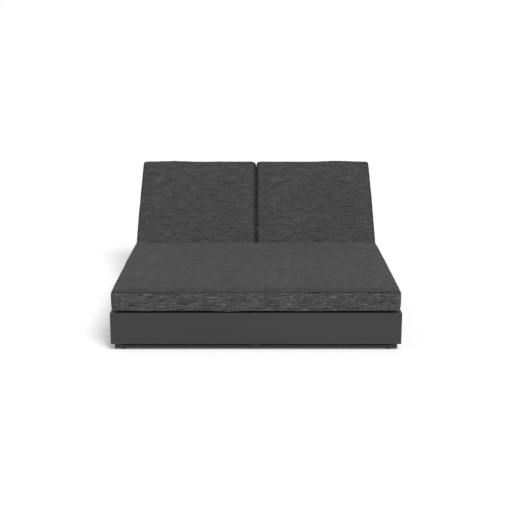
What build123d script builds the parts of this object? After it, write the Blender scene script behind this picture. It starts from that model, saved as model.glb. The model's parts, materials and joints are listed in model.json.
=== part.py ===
from build123d import *

import os
from math import atan2, cos, degrees, hypot, radians, sin, sqrt

# Double chaise lounger: a low aluminium box base, one wide seat cushion and two reclining backs.
# Millimetres. The origin is the middle of the footprint on the floor, the front faces -Y, +Z is up.
# Left and right are as seen from the front: left is -X, right is +X.

# Overall size and the stack of heights
overall_width = 1600
overall_length = 2050
foot_height = 8
plinth_height = 18
shadow_gap = 12
fascia_height = 177

# Fascia: hollow planks, mitred at the corners
fascia_thickness = 20
fascia_wall = 2
fascia_corner_radius = 4
fascia_edge_radius = 2

# Plinth: hollow tubes just inside the fascia's faces
plinth_tube_width = 40
plinth_wall = 2

# Glide feet, pressed into the plinth from below
foot_diameter = 22
foot_edge_radius = 1.5
foot_stem_diameter = 8
foot_stem_length = 12
foot_from_tube = 8

# Posts and deck rails
post_size = 40
post_wall = 2
rail_width = 40
rail_depth = 30
rail_wall = 2
slat_width = 60
slat_thickness = 10
slat_wall = 1.5
slat_bearing = 20
seat_slat_count = 12

# Screws from the posts into the fascia's inner wall
screw_diameter = 6
screw_head_diameter = 11
screw_head_height = 3
screw_socket_across = 4
screw_socket_depth = 1.6
screw_hole_clearance = 0.2
screw_tip = 8
screw_low = 50
screw_high = 115
screw_stagger = 20

# Hinge line
hinge_from_rear = 755
hinge_drop = 10
hinge_rail_gap = 22
hinge_pin_diameter = 10
hinge_pin_head_diameter = 15
hinge_pin_head_height = 3
hinge_plate_thickness = 4
hinge_ear_thickness = 4
hinge_ear_radius = 10
hinge_side_gap = 0.5
running_clearance = 0.05
rail_plug_length = 25

# Back frames
rest_angle = 40
highest_angle = 53
notch_angles = (14, 27, 40, 53)
back_side_gap = 10
back_middle_gap = 16
back_end_gap = 10
lower_back_slat_count = 3
upper_back_slat_count = 4

# Props and racks
prop_end_gap = 105
prop_drop = 12
prop_rod_diameter = 12
prop_arm_width = 20
prop_arm_thickness = 8
prop_rod_overhang = 8
rack_slope = 3
rack_thickness = 8
rack_depth = 45
rack_from_rail = 52
arm_from_rack = 12
tooth_clearance = 0.4
notch_depth = 7
notch_run = 16

# Rear ledger and its rubber strips
ledger_width = 30
ledger_depth = 40
buffer_height = 2.7
buffer_width = 14
buffer_from_middle = 50
buffer_from_post = 30
rest_clearance = 0.3

# Cushions: thickness at the seams, with a crown above them
cushion_thickness = 104
cushion_crown = 3
cushion_crown_step = 60
cushion_inset = 6
cushion_corner_radius = 18
cushion_edge_radius = 12
cushion_side_bulge = 5
back_cushion_gap = 3
back_cushion_end_inset = 1
back_cushion_start = 2
back_cushion_foot_radius = 35
seat_cushion_undercut = 20
cushion_clearance = 1.5

# Heights and half sizes that follow
plinth_top = foot_height + plinth_height
fascia_bottom = plinth_top + shadow_gap
fascia_top = fascia_bottom + fascia_height
deck_top = fascia_top + slat_thickness
rail_bottom = deck_top - rail_depth
edge_rail_bottom = fascia_top - rail_depth
half_width = overall_width / 2
half_length = overall_length / 2
inner_half_width = half_width - fascia_thickness
inner_half_length = half_length - fascia_thickness
post_centre_x = inner_half_width - post_size / 2
post_centre_y = inner_half_length - post_size / 2
cross_half = inner_half_width - plinth_tube_width
foot_from_middle = cross_half - foot_from_tube
plinth_tube_middle_y = inner_half_length - plinth_tube_width / 2

# The hinge axis, and what stands on its line
hinge_y = half_length - hinge_from_rear
hinge_z = deck_top - hinge_drop
hinge_rail_rear = hinge_y - hinge_rail_gap
hinge_rail_front = hinge_rail_rear - rail_width
hinge_post_y = (hinge_rail_rear + hinge_rail_front) / 2

# The back frame in its own measures: s runs up the back from the hinge axis, n stands square to it
outer_rail_far = inner_half_width - back_side_gap
outer_rail_near = outer_rail_far - rail_width
inner_rail_near = back_middle_gap / 2
inner_rail_far = inner_rail_near + rail_width
frame_end = inner_half_length - back_end_gap - hinge_y
frame_top = hinge_drop
frame_bottom = hinge_drop - rail_depth

# Ledger under the ends of the flat backs
ledger_top = rail_bottom - rest_clearance - buffer_height
ledger_front = inner_half_length - ledger_width

# The linkage: arm length equals the pivot's distance from the hinge, so the prop turns twice as fast.
# With the back flat, the foot rod lies short of the ledger by the prop's end gap.
prop_reach = (ledger_front - hinge_y - prop_end_gap) / 2
arm_length = hypot(prop_reach, prop_drop)
pivot_lag = degrees(atan2(prop_drop, prop_reach))
rod_radius = prop_rod_diameter / 2

SIDES = {"left": -1, "right": 1}

os.makedirs("parts", exist_ok=True)


def write(piece, name):
    """Label a finished piece and write it to its own file."""
    piece.part.label = name
    export_step(piece.part, f"parts/{name}.step")


def rect_tube(low, high, along, wall):
    """A hollow rectangular tube that fills the box from low to high and is open at both ends of one axis."""
    plane, run, across, up = {"X": (Plane.YZ, 0, 1, 2), "Y": (Plane.ZX, 1, 2, 0)}[along]
    size_across = high[across] - low[across]
    size_up = high[up] - low[up]
    middle = (low[across] + size_across / 2, low[up] + size_up / 2)
    with BuildPart() as tube:
        with BuildSketch(plane.offset(low[run])):
            with Locations(middle):
                Rectangle(size_across, size_up)
                Rectangle(size_across - 2 * wall, size_up - 2 * wall, mode=Mode.SUBTRACT)
        extrude(amount=high[run] - low[run])
    return tube


def wedge_outline(side, out_x, out_y, in_x, in_y):
    """The four corners of one side of a mitred ring, between an outer and an inner rectangle."""
    if side in ("front", "rear"):
        way = -1 if side == "front" else 1
        return [(-out_x, way * out_y), (out_x, way * out_y), (in_x, way * in_y), (-in_x, way * in_y)]
    way = SIDES[side]
    return [(way * out_x, -out_y), (way * out_x, out_y), (way * in_x, in_y), (way * in_x, -in_y)]


def outline_face(points, mode=Mode.ADD):
    """Fill a closed outline in the sketch that is being drawn."""
    with BuildLine() as outline:
        Polyline(*points, close=True)
    make_face(outline.edges(), mode=mode)


def inner_face_plane(side):
    """The plane of a fascia panel's inner face: local y is up, the normal points outwards."""
    return {
        "front": Plane((0, -inner_half_length, 0), x_dir=(1, 0, 0), z_dir=(0, -1, 0)),
        "rear": Plane((0, inner_half_length, 0), x_dir=(-1, 0, 0), z_dir=(0, 1, 0)),
        "left": Plane((-inner_half_width, 0, 0), x_dir=(0, -1, 0), z_dir=(-1, 0, 0)),
        "right": Plane((inner_half_width, 0, 0), x_dir=(0, 1, 0), z_dir=(1, 0, 0)),
    }[side]


def screw_places(side):
    """Where the screws stand on a panel's inner face: distance along it, and height."""
    low = fascia_bottom + screw_low
    high = fascia_bottom + screw_high
    if side in ("front", "rear"):
        return [(x, z) for x in (-post_centre_x, post_centre_x) for z in (low, high)]
    way = SIDES[side]
    stations = (-post_centre_y, hinge_post_y, post_centre_y)
    return [(way * y, z + screw_stagger) for y in stations for z in (low, high)]


# Fascia panels
for side in ("front", "rear", "left", "right"):
    with BuildPart() as panel:
        with BuildSketch(Plane.XY.offset(fascia_bottom)):
            RectangleRounded(overall_width, overall_length, fascia_corner_radius)
            outline_face(
                wedge_outline(side, half_width, half_length, inner_half_width, inner_half_length),
                Mode.INTERSECT,
            )
        extrude(amount=fascia_height)
        outward = inner_face_plane(side).z_dir
        outer_face = panel.faces().sort_by(Axis((0, 0, 0), outward))[-1]
        fillet(outer_face.edges().filter_by(Axis.Z, reverse=True), radius=fascia_edge_radius)
        with BuildSketch(Plane.XY.offset(fascia_bottom + fascia_wall)):
            RectangleRounded(
                overall_width - 2 * fascia_wall,
                overall_length - 2 * fascia_wall,
                fascia_corner_radius - fascia_wall,
            )
            outline_face(
                wedge_outline(
                    side,
                    half_width - fascia_wall,
                    half_length - fascia_wall,
                    inner_half_width + fascia_wall,
                    inner_half_length + fascia_wall,
                ),
                Mode.INTERSECT,
            )
        extrude(amount=fascia_height - 2 * fascia_wall, mode=Mode.SUBTRACT)
        with BuildSketch(inner_face_plane(side)):
            with Locations(*screw_places(side)):
                Circle(screw_diameter / 2 + screw_hole_clearance)
        extrude(amount=fascia_wall, mode=Mode.SUBTRACT)
    write(panel, f"{side}_panel")

# Plinth: the mitred ring of tubes
feet_y = (-plinth_tube_middle_y, hinge_post_y, plinth_tube_middle_y)
for side in ("front", "rear", "left", "right"):
    with BuildPart() as plinth_tube:
        with BuildSketch(Plane.XY.offset(foot_height)):
            outline_face(
                wedge_outline(
                    side,
                    inner_half_width,
                    inner_half_length,
                    inner_half_width - plinth_tube_width,
                    inner_half_length - plinth_tube_width,
                )
            )
        extrude(amount=plinth_height)
        with BuildSketch(Plane.XY.offset(foot_height + plinth_wall)):
            outline_face(
                wedge_outline(
                    side,
                    inner_half_width - plinth_wall,
                    inner_half_length - plinth_wall,
                    inner_half_width - plinth_tube_width + plinth_wall,
                    inner_half_length - plinth_tube_width + plinth_wall,
                )
            )
        extrude(amount=plinth_height - 2 * plinth_wall, mode=Mode.SUBTRACT)
        if side in ("front", "rear"):
            foot_y = feet_y[0] if side == "front" else feet_y[-1]
            with BuildSketch(Plane.XY.offset(foot_height)):
                with Locations((-foot_from_middle, foot_y), (foot_from_middle, foot_y)):
                    Circle(foot_stem_diameter / 2)
            extrude(amount=plinth_wall, mode=Mode.SUBTRACT)
    write(plinth_tube, f"plinth_{side}_tube")

# Plinth: the cross tube under the hinge line, with holes for the middle feet
with BuildPart() as plinth_cross:
    with BuildSketch(Plane.YZ.offset(-cross_half)):
        with Locations((hinge_post_y, foot_height + plinth_height / 2)):
            Rectangle(plinth_tube_width, plinth_height)
            Rectangle(
                plinth_tube_width - 2 * plinth_wall, plinth_height - 2 * plinth_wall, mode=Mode.SUBTRACT
            )
    extrude(amount=2 * cross_half)
    with BuildSketch(Plane.XY.offset(foot_height)):
        with Locations((-foot_from_middle, hinge_post_y), (foot_from_middle, hinge_post_y)):
            Circle(foot_stem_diameter / 2)
    extrude(amount=plinth_wall, mode=Mode.SUBTRACT)
write(plinth_cross, "plinth_cross_tube")

# Glide feet with their stems
for place, foot_y in zip(("front", "middle", "rear"), feet_y):
    for side, way in SIDES.items():
        foot_x = way * foot_from_middle
        with BuildPart() as foot:
            with BuildSketch(Plane.XY):
                with Locations((foot_x, foot_y)):
                    Circle(foot_diameter / 2)
            extrude(amount=foot_height)
            fillet(foot.edges().group_by(Axis.Z)[0], radius=foot_edge_radius)
            with BuildSketch(Plane.XY.offset(foot_height)):
                with Locations((foot_x, foot_y)):
                    Circle(foot_stem_diameter / 2)
            extrude(amount=foot_stem_length)
        write(foot, f"{place}_{side}_foot")


def screws_beside(side, x, y):
    """The screws of one fascia panel that pass through the post at a place."""
    along = inner_face_plane(side).to_local_coords(Vector(x, y, 0)).X
    return [place for place in screw_places(side) if abs(place[0] - along) < post_size / 2]


# Posts on the plinth, each with its top and the panels that are screwed to it.
# The rear ones stop level with the ledger, under the flat backs.
posts = {
    "hinge_centre_post": (0, hinge_post_y, rail_bottom, ()),
    "front_centre_post": (0, -post_centre_y, edge_rail_bottom, ()),
}
for side, way in SIDES.items():
    post_x = way * post_centre_x
    posts[f"front_{side}_post"] = (post_x, -post_centre_y, edge_rail_bottom, ("front", side))
    posts[f"hinge_{side}_post"] = (post_x, hinge_post_y, rail_bottom, (side,))
    posts[f"rear_{side}_post"] = (post_x, post_centre_y, ledger_top, ("rear", side))

for name, (post_x, post_y, post_top, screwed_sides) in posts.items():
    with BuildPart() as post:
        with BuildSketch(Plane.XY.offset(plinth_top)):
            with Locations((post_x, post_y)):
                Rectangle(post_size, post_size)
                Rectangle(post_size - 2 * post_wall, post_size - 2 * post_wall, mode=Mode.SUBTRACT)
        extrude(amount=post_top - plinth_top)
        for side in screwed_sides:
            with BuildSketch(inner_face_plane(side)):
                with Locations(*screws_beside(side, post_x, post_y)):
                    Circle(screw_diameter / 2 + screw_hole_clearance)
            extrude(amount=-post_size, mode=Mode.SUBTRACT)
    write(post, name)

# Screws: button heads on the posts' inner faces, tips inside the fascia's hollow
with BuildPart() as screws:
    for side in ("front", "rear", "left", "right"):
        face = inner_face_plane(side)
        with BuildSketch(face.offset(-post_size)):
            with Locations(*screw_places(side)):
                Circle(screw_diameter / 2)
        extrude(amount=post_size + fascia_wall + screw_tip)
        with BuildSketch(face.offset(-post_size - screw_head_height)):
            with Locations(*screw_places(side)):
                Circle(screw_head_diameter / 2)
        extrude(amount=screw_head_height)
        with BuildSketch(face.offset(-post_size - screw_head_height)):
            with Locations(*screw_places(side)):
                RegularPolygon(screw_socket_across / 2, 6, major_radius=False)
        extrude(amount=screw_socket_depth, mode=Mode.SUBTRACT)
write(screws, "panel_screws")

# Seat deck rails. Those round the edge end level with the fascia, and the slats lie on them.
for side, way in SIDES.items():
    xs = sorted((way * (inner_half_width - rail_width), way * inner_half_width))
    side_rail = rect_tube(
        (xs[0], -inner_half_length, edge_rail_bottom),
        (xs[1], hinge_rail_front, fascia_top),
        "Y",
        rail_wall,
    )
    write(side_rail, f"{side}_side_rail")

deck_half = inner_half_width - rail_width
front_rail_rear = -inner_half_length + rail_width
front_rail = rect_tube(
    (-deck_half, -inner_half_length, edge_rail_bottom),
    (deck_half, front_rail_rear, fascia_top),
    "X",
    rail_wall,
)
write(front_rail, "front_rail")
centre_beam = rect_tube(
    (-rail_width / 2, front_rail_rear, rail_bottom),
    (rail_width / 2, hinge_rail_front, deck_top),
    "Y",
    rail_wall,
)
write(centre_beam, "centre_beam")
hinge_rail = rect_tube(
    (-inner_half_width, hinge_rail_front, rail_bottom),
    (inner_half_width, hinge_rail_rear, deck_top),
    "X",
    rail_wall,
)
write(hinge_rail, "hinge_rail")


def slat_middles(low, high, count):
    """Middles of evenly spread slats, with the same gap at both ends as between them."""
    gap = (high - low - count * slat_width) / (count + 1)
    return [low + gap + slat_width / 2 + i * (slat_width + gap) for i in range(count)]


def slat_sections(middles, top):
    """Draw the hollow sections of a row of slats whose upper faces lie at one level."""
    with Locations(*[(middle, top - slat_thickness / 2) for middle in middles]):
        Rectangle(slat_width, slat_thickness)
        Rectangle(slat_width - 2 * slat_wall, slat_thickness - 2 * slat_wall, mode=Mode.SUBTRACT)


# Seat slats: they lie on the side rails and meet the centre beam, one field on each side of it
slat_far = deck_half + slat_bearing
with BuildPart() as seat_slats:
    for near in (-slat_far, rail_width / 2):
        with BuildSketch(Plane.YZ.offset(near)):
            slat_sections(slat_middles(front_rail_rear, hinge_rail_front, seat_slat_count), deck_top)
        extrude(amount=slat_far - rail_width / 2)
write(seat_slats, "seat_slats")

# Rear ledger between the rear posts, and the rubber strips on it
ledger_half = inner_half_width - post_size
rear_ledger = rect_tube(
    (-ledger_half, ledger_front, ledger_top - ledger_depth),
    (ledger_half, inner_half_length, ledger_top),
    "X",
    rail_wall,
)
write(rear_ledger, "rear_ledger")
buffer_length = ledger_half - buffer_from_middle - buffer_from_post
buffer_middle = buffer_from_middle + buffer_length / 2
with BuildPart() as buffers:
    with BuildSketch(Plane.XY.offset(ledger_top)):
        buffer_y = ledger_front + buffer_width / 2
        with Locations((-buffer_middle, buffer_y), (buffer_middle, buffer_y)):
            Rectangle(buffer_length, buffer_width)
    extrude(amount=buffer_height)
write(buffers, "ledger_buffers")


def turned_plane(angle, x=0):
    """A plane square to X through the hinge axis: local x rises to the rear at an angle."""
    turn = radians(angle)
    return Plane((x, hinge_y, hinge_z), x_dir=(0, cos(turn), sin(turn)), z_dir=(1, 0, 0))


def back_plane(level):
    """A plane along the raised back, a level over the hinge axis: x is width, y runs up the back."""
    turn = radians(rest_angle)
    return Plane((0, hinge_y, hinge_z), x_dir=(1, 0, 0), z_dir=(0, -sin(turn), cos(turn))).offset(level)


# Hinge brackets: a plate on the hinge rail with an ear on each side of a back rail
rails = {"outer": (outer_rail_near, outer_rail_far), "inner": (inner_rail_near, inner_rail_far)}
bracket_overhang = hinge_side_gap + hinge_ear_thickness
for side, way in SIDES.items():
    for rail, (near, far) in rails.items():
        x_low = min(way * near, way * far) - bracket_overhang
        ear_starts = (x_low, x_low + bracket_overhang + rail_width + hinge_side_gap)
        with BuildPart() as bracket:
            with BuildSketch(Plane.YZ.offset(x_low)):
                with Locations((hinge_rail_rear, rail_bottom)):
                    Rectangle(hinge_plate_thickness, rail_depth, align=(Align.MIN, Align.MIN))
            extrude(amount=rail_width + 2 * bracket_overhang)
            for ear_start in ear_starts:
                with BuildSketch(Plane.YZ.offset(ear_start)):
                    with Locations((hinge_y, hinge_z)):
                        Circle(hinge_ear_radius)
                        Rectangle(hinge_rail_gap, 2 * hinge_ear_radius, align=(Align.MAX, Align.CENTER))
                        Circle(hinge_pin_diameter / 2, mode=Mode.SUBTRACT)
                extrude(amount=hinge_ear_thickness)
        write(bracket, f"{side}_{rail}_hinge_bracket")

# Hinge pins: each head is on the side that has room for it
with BuildPart() as hinge_pins:
    for side, way in SIDES.items():
        for near, far in rails.values():
            tip = way * (near - bracket_overhang)
            head = way * (far + bracket_overhang)
            with BuildSketch(Plane.YZ.offset(tip)):
                with Locations((hinge_y, hinge_z)):
                    Circle(hinge_pin_diameter / 2)
            extrude(amount=head - tip)
            with BuildSketch(Plane.YZ.offset(head)):
                with Locations((hinge_y, hinge_z)):
                    Circle(hinge_pin_head_diameter / 2)
            extrude(amount=way * hinge_pin_head_height)
write(hinge_pins, "hinge_pins")


def back_rail(way, near, far, mitre_far):
    """A long rail of a back frame: solid at the hinge, hollow above, mitred at its top end."""
    mitre_near = 1 - mitre_far
    top_near = frame_end - rail_width * mitre_far
    top_far = frame_end - rail_width * mitre_near
    with BuildPart() as rail:
        with BuildSketch(back_plane(frame_bottom)):
            outline_face([(way * near, 0), (way * far, 0), (way * far, top_far), (way * near, top_near)])
        extrude(amount=rail_depth)
        with BuildSketch(turned_plane(rest_angle, min(way * near, way * far))):
            Circle(hinge_drop)
        extrude(amount=rail_width)
        with BuildSketch(back_plane(frame_bottom + rail_wall)):
            pocket_near = top_near + rail_wall * (mitre_far - mitre_near)
            pocket_far = top_far - rail_wall * (mitre_far - mitre_near)
            outline_face(
                [
                    (way * (near + rail_wall), rail_plug_length),
                    (way * (far - rail_wall), rail_plug_length),
                    (way * (far - rail_wall), pocket_far),
                    (way * (near + rail_wall), pocket_near),
                ]
            )
        extrude(amount=rail_depth - 2 * rail_wall, mode=Mode.SUBTRACT)
        with BuildSketch(turned_plane(rest_angle, min(way * near, way * far))):
            Circle(hinge_pin_diameter / 2 + running_clearance)
            with Locations((prop_reach, -prop_drop)):
                Circle(rod_radius)
        extrude(amount=rail_width, mode=Mode.SUBTRACT)
    return rail


# Back frames
for side, way in SIDES.items():
    write(back_rail(way, outer_rail_near, outer_rail_far, 1), f"{side}_back_outer_rail")
    write(back_rail(way, inner_rail_near, inner_rail_far, 0), f"{side}_back_inner_rail")

    with BuildPart() as top_rail:
        with BuildSketch(back_plane(frame_bottom)):
            outline_face(
                [
                    (way * inner_rail_near, frame_end),
                    (way * outer_rail_far, frame_end),
                    (way * outer_rail_near, frame_end - rail_width),
                    (way * inner_rail_far, frame_end - rail_width),
                ]
            )
        extrude(amount=rail_depth)
        with BuildSketch(back_plane(frame_bottom + rail_wall)):
            outline_face(
                [
                    (way * (inner_rail_near + rail_wall), frame_end - rail_wall),
                    (way * (outer_rail_far - rail_wall), frame_end - rail_wall),
                    (way * (outer_rail_near + rail_wall), frame_end - rail_width + rail_wall),
                    (way * (inner_rail_far - rail_wall), frame_end - rail_width + rail_wall),
                ]
            )
        extrude(amount=rail_depth - 2 * rail_wall, mode=Mode.SUBTRACT)
    write(top_rail, f"{side}_back_top_rail")

    lower_slats = slat_middles(rail_plug_length, prop_reach, lower_back_slat_count)
    upper_slats = slat_middles(prop_reach, frame_end - rail_width, upper_back_slat_count)
    slat_start = min(way * inner_rail_far, way * outer_rail_near)
    with BuildPart() as back_slats:
        with BuildSketch(turned_plane(rest_angle, slat_start)):
            slat_sections(lower_slats + upper_slats, frame_top)
        extrude(amount=outer_rail_near - inner_rail_far)
    write(back_slats, f"{side}_back_slats")

    with BuildPart() as pivot_rod:
        with BuildSketch(turned_plane(rest_angle, min(way * inner_rail_near, way * outer_rail_far))):
            with Locations((prop_reach, -prop_drop)):
                Circle(rod_radius)
        extrude(amount=outer_rail_far - inner_rail_near)
    write(pivot_rod, f"{side}_pivot_rod")


def foot_distance(angle):
    """How far along the rack line the foot rod stands from the hinge axis, with the back at an angle."""
    return 2 * arm_length * cos(radians(angle - pivot_lag + rack_slope))


# Rack bars: the foot rod passes just above the tips of the teeth
rack_turn = radians(rack_slope)
tip_level = -rod_radius - tooth_clearance
rack_floor = tip_level - rack_depth


def along_rack(y, level):
    """The place along the rack line of a point at a distance behind the hinge and a level off the line."""
    return (y - level * sin(rack_turn)) / cos(rack_turn)


rack_front_y = -hinge_rail_gap
rack_rear_y = ledger_front - hinge_y
rack_outline = [(along_rack(rack_front_y, level), level) for level in (rack_floor, tip_level)]
for angle in reversed(notch_angles):
    rod_at = foot_distance(angle)
    rack_outline += [
        (rod_at - notch_run, tip_level),
        (rod_at - rod_radius / 2, tip_level - notch_depth),
        (rod_at + rod_radius, tip_level - notch_depth),
        (rod_at + rod_radius, tip_level),
    ]
rack_outline += [(along_rack(rack_rear_y, level), level) for level in (tip_level, rack_floor)]

# Props: arms that turn on the pivot rod, and the foot rod through their lower ends
pivot_turn = radians(rest_angle - pivot_lag)
pivot_y = arm_length * cos(pivot_turn)
pivot_z = arm_length * sin(pivot_turn)
foot_y = foot_distance(rest_angle) * cos(rack_turn)
foot_z = -foot_distance(rest_angle) * sin(rack_turn)
arm_turn = atan2(foot_z - pivot_z, foot_y - pivot_y)

outer_rack_far = outer_rail_near - rack_from_rail
inner_rack_near = inner_rail_far + rack_from_rail
rack_nears = {"outer": outer_rack_far - rack_thickness, "inner": inner_rack_near}
arm_nears = {
    "outer": outer_rack_far - rack_thickness - arm_from_rack - prop_arm_thickness,
    "inner": inner_rack_near + rack_thickness + arm_from_rack,
}

for side, way in SIDES.items():
    for place, near in rack_nears.items():
        x_low = min(way * near, way * (near + rack_thickness))
        with BuildPart() as rack:
            with BuildSketch(turned_plane(-rack_slope, x_low)):
                outline_face(rack_outline)
            extrude(amount=rack_thickness)
        write(rack, f"{side}_{place}_rack")

    for place, near in arm_nears.items():
        x_low = min(way * near, way * (near + prop_arm_thickness))
        arm_plane = Plane(
            (x_low, hinge_y + pivot_y, hinge_z + pivot_z),
            x_dir=(0, cos(arm_turn), sin(arm_turn)),
            z_dir=(1, 0, 0),
        )
        with BuildPart() as arm:
            with BuildSketch(arm_plane):
                with Locations((arm_length / 2, 0)):
                    SlotCenterToCenter(arm_length, prop_arm_width)
                Circle(rod_radius + running_clearance, mode=Mode.SUBTRACT)
                with Locations((arm_length, 0)):
                    Circle(rod_radius, mode=Mode.SUBTRACT)
            extrude(amount=prop_arm_thickness)
        write(arm, f"{side}_prop_{place}_arm")

    rod_near = inner_rack_near - prop_rod_overhang
    rod_far = outer_rack_far + prop_rod_overhang
    with BuildPart() as foot_rod:
        with BuildSketch(Plane.YZ.offset(min(way * rod_near, way * rod_far))):
            with Locations((hinge_y + foot_y, hinge_z + foot_z)):
                Circle(rod_radius)
        extrude(amount=rod_far - rod_near)
    write(foot_rod, f"{side}_prop_foot_rod")


def soft_outline(x_low, x_high, y_low, y_high):
    """A cushion's section: four gently bulging sides joined by round corners."""
    bulge = cushion_side_bulge
    corner = cushion_corner_radius
    cut = corner * (1 - sqrt(0.5))
    left, right = x_low + bulge, x_high - bulge
    low, high = y_low + bulge, y_high - bulge
    x_mid = (x_low + x_high) / 2
    y_mid = (y_low + y_high) / 2
    with BuildLine() as outline:
        ThreePointArc((left + corner, low), (x_mid, y_low), (right - corner, low))
        ThreePointArc((right - corner, low), (right - cut, low + cut), (right, low + corner))
        ThreePointArc((right, low + corner), (x_high, y_mid), (right, high - corner))
        ThreePointArc((right, high - corner), (right - cut, high - cut), (right - corner, high))
        ThreePointArc((right - corner, high), (x_mid, y_high), (left + corner, high))
        ThreePointArc((left + corner, high), (left + cut, high - cut), (left, high - corner))
        ThreePointArc((left, high - corner), (x_low, y_mid), (left, low + corner))
        ThreePointArc((left, low + corner), (left + cut, low + cut), (left + corner, low))
    make_face(outline.edges())


def rounded_inset(height, radius):
    """How far a side with rounded edges is drawn in at a height."""
    depth = min(height, cushion_thickness - height)
    if depth >= radius:
        return 0
    return radius - sqrt(radius**2 - (radius - depth) ** 2)


# Section heights of a cushion as shares of its two radii, then the two steps of its crown
small_edge_shares = (0, 0.3, 1)
large_edge_shares = (1, 0.5)
crown_shares = (0.65, 1)
section_heights = [share * cushion_edge_radius for share in small_edge_shares]
section_heights += [cushion_thickness - share * back_cushion_foot_radius for share in large_edge_shares]
section_heights += [cushion_thickness - share * cushion_edge_radius for share in reversed(small_edge_shares)]
sections = [(height, rounded_inset(height, cushion_edge_radius)) for height in section_heights]
sections += [
    (cushion_thickness + share * cushion_crown, cushion_edge_radius + (step + 1) * cushion_crown_step)
    for step, share in enumerate(crown_shares)
]

# Where the seat cushion's rear face lies: just clear of a back cushion's round foot at its highest angle
cushion_bottom = frame_top + rest_clearance
cushion_level = cushion_bottom + cushion_thickness
high_turn = radians(highest_angle)
undercut_turn = radians(seat_cushion_undercut)
round_s = back_cushion_start + back_cushion_foot_radius
round_n = cushion_level - back_cushion_foot_radius
round_y = round_s * cos(high_turn) - round_n * sin(high_turn)
round_z = round_s * sin(high_turn) + round_n * cos(high_turn)
rear_offset = (
    round_y * cos(undercut_turn)
    - round_z * sin(undercut_turn)
    - back_cushion_foot_radius
    - cushion_clearance
)


def seat_rear(height):
    """Where the undercut rear face of the seat cushion stands at a height over the cushion's underside."""
    level = cushion_bottom + height
    return hinge_y + (rear_offset + level * sin(undercut_turn)) / cos(undercut_turn)


# Seat cushion: one piece across both sides
seat_half = half_width - cushion_inset
with BuildPart() as seat_cushion:
    for height, inset in sections:
        with BuildSketch(Plane.XY.offset(deck_top + rest_clearance + height)):
            soft_outline(
                inset - seat_half,
                seat_half - inset,
                -half_length + cushion_inset + inset,
                seat_rear(height) - inset,
            )
    loft(ruled=True)
write(seat_cushion, "seat_cushion")

# Back cushions: a large round edge at the foot lets them pass the seat cushion
back_cushion_end = half_length - back_cushion_end_inset - hinge_y
foot_round_start = cushion_thickness - back_cushion_foot_radius
for side, way in SIDES.items():
    xs = sorted((way * back_cushion_gap / 2, way * seat_half))
    with BuildPart() as back_cushion:
        for height, inset in sections:
            rise = min(height, cushion_thickness) - foot_round_start
            foot_inset = inset
            if rise > 0:
                round_inset = back_cushion_foot_radius - sqrt(back_cushion_foot_radius**2 - rise**2)
                foot_inset = round_inset + max(inset - cushion_edge_radius, 0)
            with BuildSketch(back_plane(cushion_bottom + height)):
                soft_outline(
                    xs[0] + inset,
                    xs[1] - inset,
                    back_cushion_start + foot_inset,
                    back_cushion_end - inset,
                )
        loft(ruled=True)
    write(back_cushion, f"{side}_back_cushion")
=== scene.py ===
import json
from math import cos, pi, radians, sin

import bmesh
import bpy
import numpy as np
from bpy.props import FloatProperty, FloatVectorProperty, IntProperty, PointerProperty
from mathutils import Matrix, Vector

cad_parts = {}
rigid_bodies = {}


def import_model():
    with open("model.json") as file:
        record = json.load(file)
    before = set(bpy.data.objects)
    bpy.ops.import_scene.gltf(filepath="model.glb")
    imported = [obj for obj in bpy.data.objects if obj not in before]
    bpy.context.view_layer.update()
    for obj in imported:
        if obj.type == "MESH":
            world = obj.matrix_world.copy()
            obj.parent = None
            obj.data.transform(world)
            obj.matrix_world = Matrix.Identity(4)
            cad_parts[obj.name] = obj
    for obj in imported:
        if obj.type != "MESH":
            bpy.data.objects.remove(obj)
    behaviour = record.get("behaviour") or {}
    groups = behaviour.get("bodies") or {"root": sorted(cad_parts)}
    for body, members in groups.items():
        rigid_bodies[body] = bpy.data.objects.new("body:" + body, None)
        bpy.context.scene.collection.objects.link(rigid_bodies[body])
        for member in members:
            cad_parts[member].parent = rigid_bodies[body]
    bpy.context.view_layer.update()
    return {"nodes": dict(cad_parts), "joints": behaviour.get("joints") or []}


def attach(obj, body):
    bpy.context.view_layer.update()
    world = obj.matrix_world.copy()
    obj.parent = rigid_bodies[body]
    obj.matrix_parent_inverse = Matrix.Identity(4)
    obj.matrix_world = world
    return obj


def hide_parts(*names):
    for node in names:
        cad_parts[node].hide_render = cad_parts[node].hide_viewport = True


# Double chaise lounger: a box base on a low plinth, one wide seat cushion and two reclining backs.
# Metres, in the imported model's frame: the front faces -Y, +Z is up, left is -X.

bl_info = {
    "name": "Double chaise lounger",
    "version": (1, 0, 0),
    "blender": (4, 5, 0),
    "location": "3D View > Sidebar > Lounger",
    "description": "Cushions, slats, welds, finishes and studio of a double chaise lounger",
    "category": "Object",
}

for leftover in list(bpy.data.objects):
    bpy.data.objects.remove(leftover)
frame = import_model()

SIDES = {"left": -1, "right": 1}

# The backs' own place: X along the hinge line and Y up the back, turned as both backs are at rest
LEFT_RECLINE = next(joint for joint in frame["joints"] if joint["name"] == "left_recline")
HINGE = Vector(LEFT_RECLINE["pos_m"])
REST_ANGLE = radians(-LEFT_RECLINE["range_deg"][0])
BACK_PLACE = Matrix.Translation(HINGE) @ Matrix.Rotation(REST_ANGLE, 4, "X")
FLAT_PLACE = Matrix.Identity(4)


def number_setting(name, description, default, least=0.0, **more):
    """A number that the user may set."""
    return FloatProperty(name=name, description=description, default=default, min=least, **more)


def length_setting(name, description, default, least=0.0):
    """A length that the user may set."""
    return number_setting(name, description, default, least, unit="LENGTH")


def colour_setting(name, description, default):
    """A colour that the user may set."""
    return FloatVectorProperty(
        name=name, description=description, subtype="COLOR", size=3, default=default, min=0, max=1
    )


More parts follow.
